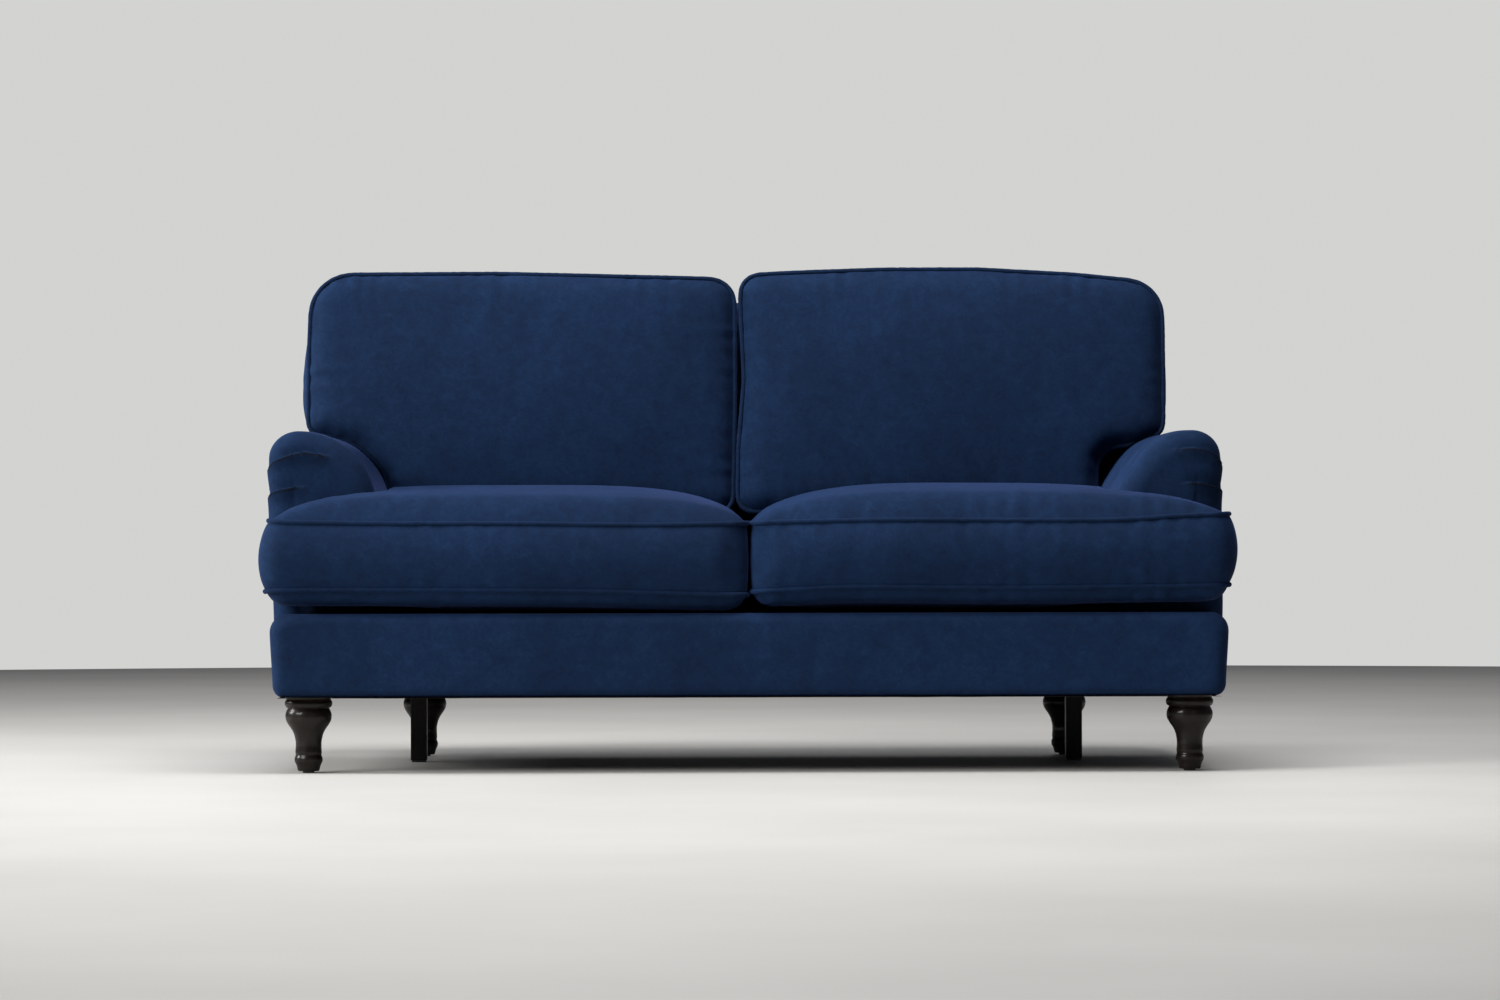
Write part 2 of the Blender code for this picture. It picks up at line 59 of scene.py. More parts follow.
ARM_IN = ARM_LOW.x                      # inner face of the arm
ARM_TOP = ARM_HIGH.z
ARM_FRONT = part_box("arm_front_pad_right")[0].y
ARM_FACE = ARM_FRONT + 0.0005           # front of the arms' covers
ARM_OUT = ARM_HIGH.x
ROLL_IN = (ARM_IN + 0.140, ARM_TOP - 0.140, 0.140)     # x, z and radius of the inner arc
ROLL_OUT = (ARM_IN + 0.140, ARM_TOP - 0.055, 0.055)    # and of the outer arc
BASE_HALF = BORDER_HIGH.x
BASE_BOTTOM = BORDER_LOW.z
DECK_TOP = DECK_HIGH.z
ARM_FOOT = DECK_TOP - 0.026             # the arms' covers reach down past the deck's edge
LEAN = math.radians(6.84)               # how far the back and its cushions lean
ARM_SHIFT = 0.005                       # the upholstered arms settle this far to the left


# ---------------------------------------------------------------- outlines and meshes

def arc(centre, radius, start, end, count):
    """Points on a circle between two angles in degrees."""
    angles = np.radians(np.linspace(start, end, count))
    return np.stack([centre[0] + radius * np.cos(angles), centre[1] + radius * np.sin(angles)], 1)


def resample(points, spacing, closed=True):
    """The same line with evenly spaced points."""
    points = np.asarray(points, float)
    if closed:
        points = np.vstack([points, points[:1]])
    steps = np.linalg.norm(np.diff(points, axis=0), axis=1)
    along = np.concatenate([[0], np.cumsum(steps)])
    count = max(8, int(round(along[-1] / spacing)))
    targets = np.linspace(0, along[-1], count + 1)
    if closed:
        targets = targets[:-1]
    return np.stack([np.interp(targets, along, points[:, k]) for k in range(points.shape[1])], 1)


def round_corners(corners):
    """A closed outline from (u, v, radius) corners."""
    corners = [np.array(c, float) for c in corners]
    line = []
    for i, corner in enumerate(corners):
        before, after = corners[i - 1][:2], corners[(i + 1) % len(corners)][:2]
        point, radius = corner[:2], corner[2]
        if radius < 1e-6:
            line.append(point)
            continue
        a = (before - point) / np.linalg.norm(before - point)
        b = (after - point) / np.linalg.norm(after - point)
        half = math.acos(np.clip(a @ b, -1, 1)) / 2
        run = radius / math.tan(half)
        middle = point + (a + b) / np.linalg.norm(a + b) * radius / math.sin(half)
        first, last = point + a * run - middle, point + b * run - middle
        turn = math.atan2(first[0] * last[1] - first[1] * last[0], first @ last)
        for share in np.linspace(0, 1, 9):
            angle = turn * share
            spin = np.array([[math.cos(angle), -math.sin(angle)], [math.sin(angle), math.cos(angle)]])
            line.append(middle + spin @ first)
    return np.array(line)


def outward(outline, closed=True):
    """Unit normals of a counter-clockwise outline, pointing out of it."""
    if closed:
        tangent = np.roll(outline, -1, 0) - np.roll(outline, 1, 0)
    else:
        tangent = np.gradient(outline, axis=0)
    tangent /= np.maximum(np.linalg.norm(tangent, axis=1, keepdims=True), 1e-9)
    return np.stack([tangent[:, 1], -tangent[:, 0]], 1)


def nearest(points, outline, chunk=4000):
    """Distance to the outline's points, and the index of the nearest one."""
    distance, index = np.empty(len(points)), np.empty(len(points), int)
    for start in range(0, len(points), chunk):
        part = points[start:start + chunk]
        gap = ((part[:, None, :] - outline[None]) ** 2).sum(2)
        index[start:start + chunk] = gap.argmin(1)
        distance[start:start + chunk] = np.sqrt(gap.min(1))
    return distance, index


def mirrored(line):
    """The line's mirror image at X = 0, running the same way round."""
    return (np.asarray(line, float) * (-1, 1))[::-1]


def mirror_outline(right):
    """A closed counter-clockwise outline from its right half, given from the bottom up."""
    return np.vstack([right, mirrored(right)])


def soften(line, passes):
    """A closed line with its corners worn round."""
    for _ in range(passes):
        line = (np.roll(line, 1, 0) + 2 * line + np.roll(line, -1, 0)) / 4
    return line


def smooth_line(keys, count):
    """A smooth curve through the keys (Catmull-Rom)."""
    keys = np.array(keys, float)
    padded = np.vstack([2 * keys[0] - keys[1], keys, 2 * keys[-1] - keys[-2]])
    line = []
    for i in range(1, len(padded) - 2):
        p0, p1, p2, p3 = padded[i - 1:i + 3]
        for t in np.linspace(0, 1, count, endpoint=False):
            line.append(0.5 * (2 * p1 + (p2 - p0) * t + (2 * p0 - 5 * p1 + 4 * p2 - p3) * t * t
                               + (3 * p1 - p0 - 3 * p2 + p3) * t ** 3))
    line.append(keys[-1])
    return np.array(line)


def at_depth(line, depth):
    """A flat line with the same third number at every point."""
    return np.column_stack([line, np.full(len(line), depth)])


def smoothstep(x, low, high):
    """A soft step: 0 up to low, 1 from high on."""
    t = np.clip((np.asarray(x, float) - low) / (high - low), 0, 1)
    return t * t * (3 - 2 * t)


def softmin(a, b, reach):
    """The lower of two heights, with a rounded change from one to the other."""
    return -reach * np.logaddexp(-a / reach, -b / reach)


def quarter(x):
    """A quarter circle's rise: steep at 0 and level from 1 on."""
    return np.sqrt(1 - (1 - np.clip(x, 0, 1)) ** 2)


def ripple(along, seed, waves, length):
    """A smooth random line from -1 to 1 along a seam of the given length."""
    draw = np.random.default_rng(seed)
    total = np.zeros_like(along)
    for _ in range(waves):
        turns = draw.integers(5, 90)
        total += np.sin(2 * np.pi * turns * along / length + draw.uniform(0, 2 * np.pi))
    return total / math.sqrt(waves)


def coords(obj):
    points = np.empty(len(obj.data.vertices) * 3)
    obj.data.vertices.foreach_get("co", points)
    return points.reshape(-1, 3)


def set_coords(obj, points):
    obj.data.vertices.foreach_set("co", np.asarray(points, float).ravel())
    obj.data.update()


def vertex_normals(obj):
    normals = np.empty(len(obj.data.vertices) * 3)
    obj.data.vertices.foreach_get("normal", normals)
    return normals.reshape(-1, 3)


def mesh_from(name, bm):
    """A mesh from a bmesh, which is freed."""
    mesh = bpy.data.meshes.new(name)
    bm.to_mesh(mesh)
    bm.free()
    return mesh


def paint_shade(obj, amount):
    """Record how much painted shade each point gets, in a fold's crease or elsewhere; the velvet paints
    it as darker colour.
    """
    layer = obj.data.attributes.new("painted_shade", "FLOAT", "POINT")
    layer.data.foreach_set("value", np.clip(amount, 0, 1).astype(np.float32))


def link(name, mesh, material=None):
    """A smooth object in the scene, with one material."""
    obj = bpy.data.objects.new(name, mesh)
    bpy.context.scene.collection.objects.link(obj)
    if material:
        mesh.materials.clear()
        mesh.materials.append(material)
    mesh.shade_smooth()
    return obj


def grid_object(name, points, material, wrap=False, flip=False):
    """A quad skin through rows of points; wrap closes each row on itself."""
    rows, cols = points.shape[:2]
    index = np.arange(rows * cols).reshape(rows, cols)
    across = np.roll(index, -1, 1) if wrap else index[:, 1:]
    here = index if wrap else index[:, :-1]
    quads = np.stack([here[:-1], across[:-1], across[1:], here[1:]], -1).reshape(-1, 4)
    if flip:
        quads = quads[:, ::-1]
    mesh = bpy.data.meshes.new(name)
    mesh.from_pydata(points.reshape(-1, 3).tolist(), [], quads.tolist())
    mesh.update()
    return link(name, mesh, material)


def weld(obj, distance=0.00005):
    """Merge points that lie on each other."""
    bm = bmesh.new()
    bm.from_mesh(obj.data)
    bmesh.ops.remove_doubles(bm, verts=bm.verts, dist=distance)
    bmesh.ops.dissolve_degenerate(bm, dist=distance / 10, edges=bm.edges)
    bm.to_mesh(obj.data)
    bm.free()
    return obj


def join(name, objects):
    """One object from several, which are removed."""
    bm = bmesh.new()
    for obj in objects:
        obj.data.transform(obj.matrix_world)
        bm.from_mesh(obj.data)
    material = objects[0].data.materials[0]
    for obj in objects:
        bpy.data.objects.remove(obj, do_unlink=True)
    return link(name, mesh_from(name, bm), material)


def bake(obj):
    """Apply the object's modifiers to its mesh."""
    graph = bpy.context.evaluated_depsgraph_get()
    mesh = bpy.data.meshes.new_from_object(obj.evaluated_get(graph))
    old = obj.data
    obj.modifiers.clear()
    obj.data = mesh
    bpy.data.meshes.remove(old)
    mesh.shade_smooth()
    return obj


def tube(name, line, radius, material, sides=10):
    """A closed loop of cord along a line of points."""
    line = np.asarray(line, float)
    tangent = np.roll(line, -1, 0) - np.roll(line, 1, 0)
    tangent /= np.linalg.norm(tangent, axis=1, keepdims=True)
    guide = np.array([0.0, 0.0, 1.0])
    if abs(tangent @ guide).mean() > 0.4:
        guide = np.array([0.0, 1.0, 0.0])
    side = np.cross(tangent, guide)
    side /= np.linalg.norm(side, axis=1, keepdims=True)
    up = np.cross(side, tangent)
    angles = np.linspace(0, 2 * np.pi, sides, endpoint=False)
    radius = np.broadcast_to(radius, len(line))[:, None, None]
    turn_side, turn_up = np.cos(angles)[None, :, None], np.sin(angles)[None, :, None]
    ring = side[:, None] * turn_side + up[:, None] * turn_up
    points = line[:, None] + ring * radius
    return grid_object(name, np.concatenate([points, points[:1]]), material, wrap=True)


def declare(piece, body, nodes=()):
    """Attach the piece to the body it rides on and hide the nodes it replaces."""
    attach(piece, body)
    if nodes:
        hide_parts(*nodes)


# ---------------------------------------------------------------- materials

def shaded(colour, factor):
    return tuple(factor * c for c in colour)


class Look:
    """A Principled material with a few procedural layers in object space."""

    def __init__(self, name, roughness=0.6, metallic=0.0, **settings):
        self.material = bpy.data.materials.new(name)
        self.material.use_nodes = True
        self.tree = self.material.node_tree
        self.shader = self.tree.nodes["Principled BSDF"]
        self.shader.inputs["Roughness"].default_value = roughness
        self.shader.inputs["Metallic"].default_value = metallic
        for socket, value in settings.items():
            self.shader.inputs[socket.replace("_", " ")].default_value = value
        self.place = self.node("ShaderNodeTexCoord").outputs["Object"]

    def node(self, kind, **settings):
        node = self.tree.nodes.new(kind)
        for key, value in settings.items():
            setattr(node, key, value)
        return node

    def join(self, output, socket):
        self.tree.links.new(output, socket)

    def noise(self, scale, detail=3.0, stretch=(1, 1, 1), rough=0.55, distortion=0.0):
        spread = self.node("ShaderNodeMapping")
        spread.inputs["Scale"].default_value = stretch
        self.join(self.place, spread.inputs["Vector"])
        noise = self.node("ShaderNodeTexNoise")
        for socket, value in (("Scale", scale), ("Detail", detail), ("Roughness", rough),
                              ("Distortion", distortion)):
            noise.inputs[socket].default_value = value
        self.join(spread.outputs["Vector"], noise.inputs["Vector"])
        return noise.outputs["Fac"]

    def ramp(self, value, stops):
        ramp = self.node("ShaderNodeValToRGB")
        elements = ramp.color_ramp.elements
        while len(elements) < len(stops):
            elements.new(0.5)
        for element, (position, colour) in zip(elements, stops):
            element.position = position
            element.color = (*colour, 1.0)
        self.join(value, ramp.inputs["Fac"])
        return ramp.outputs["Color"]

    def mix(self, factor, first, second, blend="MIX"):
        mix = self.node("ShaderNodeMix", data_type="RGBA", blend_type=blend)
        for socket, value in (("Factor", factor), ("A", first), ("B", second)):
            self.feed(mix.inputs[socket], value)
        return mix.outputs["Result"]

    def mottle(self, base, value, *stops):
        """Lighten and darken a colour along a noise."""
        return self.mix(1.0, base, self.ramp(value, stops), "MULTIPLY")

    def feed(self, socket, value):
        """Link an output to a socket, or set its colour or number."""
        if isinstance(value, bpy.types.NodeSocket):
            self.join(value, socket)
        elif isinstance(value, tuple):
            socket.default_value = (*value, 1.0)
        else:
            socket.default_value = value

    def span(self, value, low, high):
        """Map a 0 to 1 value onto a range."""
        span = self.node("ShaderNodeMapRange")
        span.inputs["To Min"].default_value = low
        span.inputs["To Max"].default_value = high
        self.join(value, span.inputs["Value"])
        return span.outputs["Result"]

    def bump(self, layers):
        """Stack bumps given as (height, strength, distance)."""
        normal = None
        for height, strength, distance in layers:
            bump = self.node("ShaderNodeBump")
            bump.inputs["Strength"].default_value = strength
            bump.inputs["Distance"].default_value = distance
            self.join(height, bump.inputs["Height"])
            if normal:
                self.join(normal, bump.inputs["Normal"])
            normal = bump.outputs["Normal"]
        self.join(normal, self.shader.inputs["Normal"])

    def painted_side_light(self):
        """Painted light and shade by which way a surface faces: lighter where it faces -X, the key
        light's side, darker where it faces +X.
        """
        split = self.node("ShaderNodeSeparateXYZ")
        self.join(self.node("ShaderNodeTexCoord").outputs["Normal"], split.inputs["Vector"])
        span = self.node("ShaderNodeMapRange")
        for socket, value in (("From Min", -1.0), ("From Max", 1.0), ("To Min", 0.0), ("To Max", 1.0)):
            span.inputs[socket].default_value = value
        self.join(split.outputs["X"], span.inputs["Value"])
        return self.ramp(span.outputs["Result"], [(0.0, (1.60, 1.52, 1.46)), (0.5, (1.0, 1.0, 1.0)),
                                                  (1.0, (0.55, 0.58, 0.62))])

    def colour(self, value):
        self.join(value, self.shader.inputs["Base Color"])


def velvet(name, colour, nap=1.0):
    """Short-pile velvet: brushed patches, a fine nap and a soft glow at grazing angles, with painted
    light and shade by facing and painted shade in creases.
    """
    look = Look(name, 0.78, Sheen_Weight=0.11, Sheen_Roughness=0.40,
                Sheen_Tint=(0.24, 0.36, 1.0, 1.0), Specular_IOR_Level=0.06)
    brushed = look.noise(3.2, 4.0, (1.0, 1.0, 0.7), 0.6, 0.7)
    crushed = look.noise(38.0, 4.0, rough=0.6, distortion=0.5)
    pile = look.noise(125.0, 3.0, rough=0.6, distortion=0.3)
    grain = look.noise(620.0, 2.0)
    dark, light = shaded(colour, 0.80), shaded(colour, 1.22)
    base = look.ramp(brushed, [(0.30, dark), (0.50, colour), (0.72, light)])
    base = look.mottle(base, crushed, (0.30, (0.82, 0.82, 0.85)), (0.70, (1.20, 1.20, 1.17)))
    base = look.mottle(base, pile, (0.30, (0.88, 0.88, 0.90)), (0.70, (1.13, 1.13, 1.11)))
    # painted light and shade: lighter on surfaces facing -X, darker on those facing +X
    base = look.mix(1.0, base, look.painted_side_light(), "MULTIPLY")
    # painted shade: where the point's shade amount is high, the colour falls to 6% of itself
    painted_shade = look.node("ShaderNodeAttribute", attribute_name="painted_shade").outputs["Fac"]
    base = look.mix(painted_shade, base, shaded(colour, 0.06))
    look.colour(look.mottle(base, grain, (0.25, (0.80, 0.80, 0.82)), (0.75, (1.20, 1.20, 1.18))))
    look.join(look.span(crushed, 0.70, 0.90), look.shader.inputs["Roughness"])
    look.bump([(crushed, 0.30 * nap, 0.0020), (pile, 0.20 * nap, 0.0008), (grain, 0.30 * nap, 0.0005)])
    return look.material


def timber(name, colour, roughness, grain_axis, coat=0.0, contrast=0.35):
    """Wood with its grain running along one axis."""
    stretch = [1.0, 1.0, 1.0]
    stretch[grain_axis] = 0.06
    look = Look(name, roughness, Coat_Weight=coat, Coat_Roughness=0.10, Specular_IOR_Level=0.12)
    rings = look.noise(42.0, 5.0, stretch, 0.6, 1.4)
    pores = look.noise(420.0, 3.0, stretch, 0.6)
    dark, light = shaded(colour, 1 - contrast), shaded(colour, 1 + contrast)
    base = look.ramp(rings, [(0.32, dark), (0.52, colour), (0.70, light)])
    look.colour(look.mottle(base, pores, (0.30, (0.85, 0.85, 0.85)), (0.70, (1.10, 1.10, 1.10))))
    look.join(look.span(rings, roughness * 0.85, roughness * 1.15), look.shader.inputs["Roughness"])
    look.bump([(rings, 0.10, 0.0006), (pores, 0.12, 0.0002)])
    return look.material


def woven(name, colour, pitch, depth=0.0006):
    """Plain weave: two crossed sets of threads."""
    look = Look(name, 0.9, Specular_IOR_Level=0.2)
    threads = []
    for axis in ("X", "Y"):
        wave = look.node("ShaderNodeTexWave", wave_type="BANDS", bands_direction=axis)
        for socket, value in (("Scale", 0.31 / pitch), ("Distortion", 0.6), ("Detail", 1.0)):
            wave.inputs[socket].default_value = value
        look.join(look.place, wave.inputs["Vector"])
        threads.append(wave.outputs["Color"])
    weave = look.mix(0.5, *threads)
    tone = look.noise(14.0, 4.0)
    base = look.ramp(weave, [(0.2, shaded(colour, 0.7)), (0.8, shaded(colour, 1.25))])
    look.colour(look.mottle(base, tone, (0.3, (0.88, 0.88, 0.88)), (0.7, (1.10, 1.10, 1.10))))
    look.bump([(weave, 0.5, depth)])
    return look.material


def worked(name, colour, roughness, metallic=0.0):
    """Plain metal or moulded plastic with fine wear."""
    look = Look(name, roughness, metallic)
    marks = look.noise(160.0, 4.0, (1.0, 1.0, 0.3))
    look.colour(look.ramp(marks, [(0.35, shaded(colour, 0.85)), (0.65, shaded(colour, 1.15))]))
    look.join(look.span(marks, roughness * 0.8, roughness * 1.25), look.shader.inputs["Roughness"])
    look.bump([(marks, 0.15, 0.0002)])
    return look.material


NAVY = (0.0049, 0.0152, 0.0445)
VELVET = velvet("navy_velvet", NAVY)
# the piping's velvet is the cover velvet darkened to 0.86: painted shade along the seams
SHADED_PIPING = velvet("shaded_piping_velvet", shaded(NAVY, 0.86), 0.6)
PALE_WOOD = (0.50, 0.33, 0.18)
LEG_WOOD = timber("leg_lacquer", (0.0072, 0.0046, 0.0036), 0.42, 2, coat=0.24, contrast=0.30)
POST_WOOD = timber("post_paint", (0.011, 0.010, 0.010), 0.42, 2, contrast=0.20)
FRAME_X = timber("rail_timber", PALE_WOOD, 0.62, 0)
FRAME_Y = timber("joist_timber", PALE_WOOD, 0.62, 1)
FRAME_Z = timber("post_timber", PALE_WOOD, 0.62, 2)
CAMBRIC = woven("dust_cloth", (0.012, 0.012, 0.013), 0.0016)
DECK_CLOTH = woven("deck_cloth", (0.016, 0.020, 0.034), 0.0012)
WEBBING = woven("jute_webbing", (0.32, 0.25, 0.15), 0.0030, depth=0.0010)
STEEL = worked("spring_steel", (0.48, 0.48, 0.50), 0.34, 1.0)
PLASTIC = worked("glide_plastic", (0.016, 0.016, 0.016), 0.42)
TAPE = woven("zip_tape", (0.012, 0.016, 0.030), 0.0008)


# ---------------------------------------------------------------- cushions

def settle(points):
    """Shift what is on or beside the arms to the left, more towards the rolls."""
    high = smoothstep(points[..., 2], 0.28, 0.45) * (1 - smoothstep(points[..., 2], ARM_TOP + 0.01, 0.68))
    points[..., 0] -= ARM_SHIFT * high * smoothstep(np.abs(points[..., 0]), 0.45, 0.62)
    return points


OUTLINE_STEP = 0.004
VOXEL = 0.0095
PIPING_RADIUS = 0.0045
SEAM_HOLD = (0.004, 0.020)             # held up to the first distance from a seam, free past the second
CLOTH_FRAMES = 20
CLOTH_REACH = 0.005                    # the most that a point may move as cloth
CLOTH = {
    "quality": 4, "mass": 0.35, "tension_stiffness": 12.0, "compression_stiffness": 12.0,
    "shear_stiffness": 6.0, "bending_stiffness": 1.2, "use_pressure": True,
    "vertex_group_mass": "seam",
}


class Cushion:
    """A boxed cushion: an outline in its own u and v, stuffed between two levels of w."""

    def __init__(self, name, outline, low, high, matrix, body, seed):
        self.name, self.low, self.high, self.matrix, self.body = name, low, high, matrix, body
        self.outline = resample(outline, OUTLINE_STEP)
        self.normal = outward(self.outline)
        self.seed = seed
        self.length = len(self.outline) * OUTLINE_STEP

    def start_shape(self):
        """The plain prism, as an even skin of small quads."""
        ring = resample(self.outline - self.normal * 0.0005, 0.010)
        bm = bmesh.new()
        lower = [bm.verts.new((u, v, self.low)) for u, v in ring]
        upper = [bm.verts.new((u, v, self.high)) for u, v in ring]
        bm.faces.new(list(reversed(lower)))
        bm.faces.new(upper)
        for i in range(len(ring)):
            j = (i + 1) % len(ring)
            bm.faces.new((lower[i], lower[j], upper[j], upper[i]))
        obj = link(self.name, mesh_from(self.name, bm), VELVET)
        remesh = obj.modifiers.new("even", "REMESH")
        remesh.mode = "VOXEL"
        remesh.voxel_size = VOXEL
        return self.sharpen(bake(obj))

    def sharpen(self, obj):
        """Pull the skin's rounded edges out onto the seams."""
        points = coords(obj)
        level, inset, index = self.measure(points)
        outside = inset < 0.8 * VOXEL
        edge = (self.beside(level) < 0.8 * VOXEL) & outside
        points[edge, :2] = self.outline[index[edge]]
        points[edge, 2] = np.where(level[edge] > 0, self.high, self.low)
        side = ~edge & outside
        points[side, :2] = self.outline[index[side]]
        set_coords(obj, points)
        return obj

    def measure(self, points):
        """Level from -1 to 1, distance to the outline, and index of its nearest point."""
        middle, half = (self.low + self.high) / 2, (self.high - self.low) / 2
        level = np.clip((points[:, 2] - middle) / half, -1, 1)
        inset, index = nearest(points[:, :2], self.outline)
        return level, inset, index

    def beside(self, level):
        """How far the nearer seam is in w."""
        return (1 - np.abs(level)) * ((self.high - self.low) / 2)

    def stuffed(self, points, crown, belly, bulge):
        """Swell the prism: crown and belly are functions of u, v and inset; bulge of u and v."""
        level, inset, index = self.measure(points)
        side = np.cos(level * np.pi / 2) ** 0.75 * np.exp(-(inset / 0.008) ** 2)
        amount = bulge(self.outline[index, 0], self.outline[index, 1]) * side
        swollen = points.copy()
        swollen[:, :2] += self.normal[index] * amount[:, None]
        u, v = points[:, 0], points[:, 1]
        face = smoothstep(np.abs(level), 0.80, 1.0)
        edge = self.outline[index].T
        rise, drop = crown(u, v, inset, *edge), belly(u, v, inset, *edge)
        swollen[:, 2] += np.where(level > 0, rise, -drop) * face
        return swollen

    def seam_distance(self, points):
        """Distance to the nearer seam, and index of the outline's nearest point."""
        level, inset, index = self.measure(points)
        across = np.where(np.abs(level) > 0.97, inset, 0.0)
        return np.hypot(across, self.beside(level)), index

    def puckers(self, obj, depth, reach):
        """Small gathers that run in from the seams."""
        points = coords(obj)
        distance, index = self.seam_distance(points)
        along = index * OUTLINE_STEP
        wave = ripple(along, self.seed, 9, self.length)
        patchy = 0.5 + 0.5 * np.clip(ripple(along, self.seed + 50, 3, self.length * 9), -1, 1)
        gather = depth * wave * patchy * np.exp(-distance / reach) * smoothstep(distance, 0.0, 0.006)
        set_coords(obj, points + vertex_normals(obj) * gather[:, None])

    def make(self, stuffing, pressure, gathers, axis, limit):
        """The stuffed, inflated and gathered skin, flat where it meets the limit on an axis."""
        obj = self.start_shape()
        flat = coords(obj)
        distance = self.seam_distance(flat)[0]
        set_coords(obj, self.stuffed(flat, *stuffing))
        inflate(obj, 1 - smoothstep(distance, *SEAM_HOLD), pressure)
        subdivide(obj)
        self.puckers(obj, *gathers)
        points = coords(obj)
        points[:, axis] = np.minimum(points[:, axis], limit)
        set_coords(obj, points)
        return obj

    def seam_line(self, high):
        """The middle of the piping along the upper or the lower seam."""
        ring = resample(self.outline + self.normal * 0.0008, 0.005)
        return at_depth(ring, self.high if high else self.low)

    def finish(self, obj, replaced, fit):
        """Place the cushion and its two lines of piping in the frame's axes."""
        set_coords(obj, fit(to_world(coords(obj), self.matrix)))
        declare(obj, self.body, (replaced,))
        for high, word in ((True, "upper"), (False, "lower")):
            line = fit(to_world(self.seam_line(high), self.matrix))
            draw = np.random.default_rng(self.seed + high)
            radius = PIPING_RADIUS * (1 + 0.03 * draw.standard_normal(len(line)))
            cord = tube(f"{self.name}_piping_{word}", line, radius, SHADED_PIPING)
            declare(cord, self.body)


def to_world(points, matrix):
    turned = np.array(matrix, float)
    return points @ turned[:3, :3].T + turned[:3, 3]


def inflate(obj, pinned, pressure):
    """Blow the skin up a little as cloth, held at its seams, and keep the result."""
    scene = bpy.context.scene
    rest = coords(obj)
    group = obj.vertex_groups.new(name="seam")
    pinned = np.round(pinned, 2)
    for value in np.unique(pinned[pinned > 0]):
        group.add(np.nonzero(pinned == value)[0].tolist(), float(value), "REPLACE")
    cloth = obj.modifiers.new("cloth", "CLOTH")
    for key, value in CLOTH.items():
        setattr(cloth.settings, key, value)
    cloth.settings.uniform_pressure_force = pressure
    cloth.settings.effector_weights.gravity = 0.0
    scene.frame_start, scene.frame_end = 1, CLOTH_FRAMES
    for number in range(1, CLOTH_FRAMES + 1):
        scene.frame_set(number)
    graph = bpy.context.evaluated_depsgraph_get()
    shift = coords(obj.evaluated_get(graph)) - rest
    obj.modifiers.remove(cloth)
    scene.frame_set(1)
    size = np.linalg.norm(shift, axis=1, keepdims=True)
    shift *= np.minimum(1.0, CLOTH_REACH / np.maximum(size, 1e-9))
    set_coords(obj, rest + shift)


def subdivide(obj):
    skin = obj.modifiers.new("fine", "SUBSURF")
    skin.levels = skin.render_levels = 1
    return bake(obj)


SEAT_FRONT = SEAT_LOW.y + 0.010
SEAT_REAR = SEAT_HIGH.y - 0.0010
SEAT_SEAMS = (0.3227, 0.4416)          # heights of the lower and the upper piping
SEAT_OUT = 0.8510
SEAT_CROWN = 0.0725
BACK_FOOT = (0.105, 0.4680)            # y and z of the back cushions' lower front edge
BACK_HEIGHT = 0.4570
BACK_SEAMS = (0.010, 0.2045)           # depths of the front and the rear piping
BACK_REAR = 0.2092                     # the back cushions' flat rear, as a depth
ZIP_REACH = (0.050, 0.610)             # distances out from the middle


def seat_outline(sign):
    """T shape of a seat cushion, seen from above, as if it were the right one."""
    side, ear_back = ARM_IN - 0.0050 - 0.0025 * sign, ARM_FRONT - 0.0045
    return round_corners([
        (0.0045, SEAT_FRONT + 0.010, 0.030), (0.24, SEAT_FRONT, 0.60), (0.62, SEAT_FRONT, 0.60),
        (SEAT_OUT, SEAT_FRONT + 0.010, 0.036), (SEAT_OUT, ear_back, 0.022), (side, ear_back, 0.004),
        (side, SEAT_REAR, 0.030), (0.0045, SEAT_REAR, 0.020),
    ])


# how far the upper and the lower seam of each seat cushion rise along its front, as distance
# out from the middle and rise
SEAT_LIFT = {
    "left": (((0.0, 0.0000), (0.19, -0.0030), (0.42, 0.0000), (0.65, 0.0005), (0.81, 0.0030),
              (0.86, 0.0070)),
             ((0.0, -0.0080), (0.08, -0.0065), (0.30, 0.0000), (0.54, 0.0020), (0.80, 0.0025),
              (0.86, -0.0010))),
    "right": (((0.0, 0.0000), (0.12, 0.0030), (0.27, 0.0050), (0.62, 0.0040), (0.76, 0.0110),
               (0.86, 0.0150)),
              ((0.0, -0.0030), (0.10, 0.0030), (0.20, 0.0065), (0.44, 0.0040), (0.80, 0.0070),
               (0.86, 0.0085))),
}


def seat_fit(side):
    """A function that lifts the seams and the skin between them."""
    upper, lower = (smooth_line(keys, 12) for keys in SEAT_LIFT[side])

    def fit(points):
        points = points.copy()
        out = np.abs(points[:, 0])
        share = np.clip((points[:, 2] - SEAT_SEAMS[0]) / (SEAT_SEAMS[1] - SEAT_SEAMS[0]), 0, 1)
        lift = share * np.interp(out, *upper.T) + (1 - share) * np.interp(out, *lower.T)
        points[:, 2] += lift * (1 - smoothstep(points[:, 1], -0.30, -0.08))
        if side == "left":
            points[:, 0] -= 0.0060 * (1 - share) * smoothstep(out, 0.79, 0.85)
        points[:, 2] = np.maximum(points[:, 2], DECK_TOP + 0.0006)
        return points

    return fit


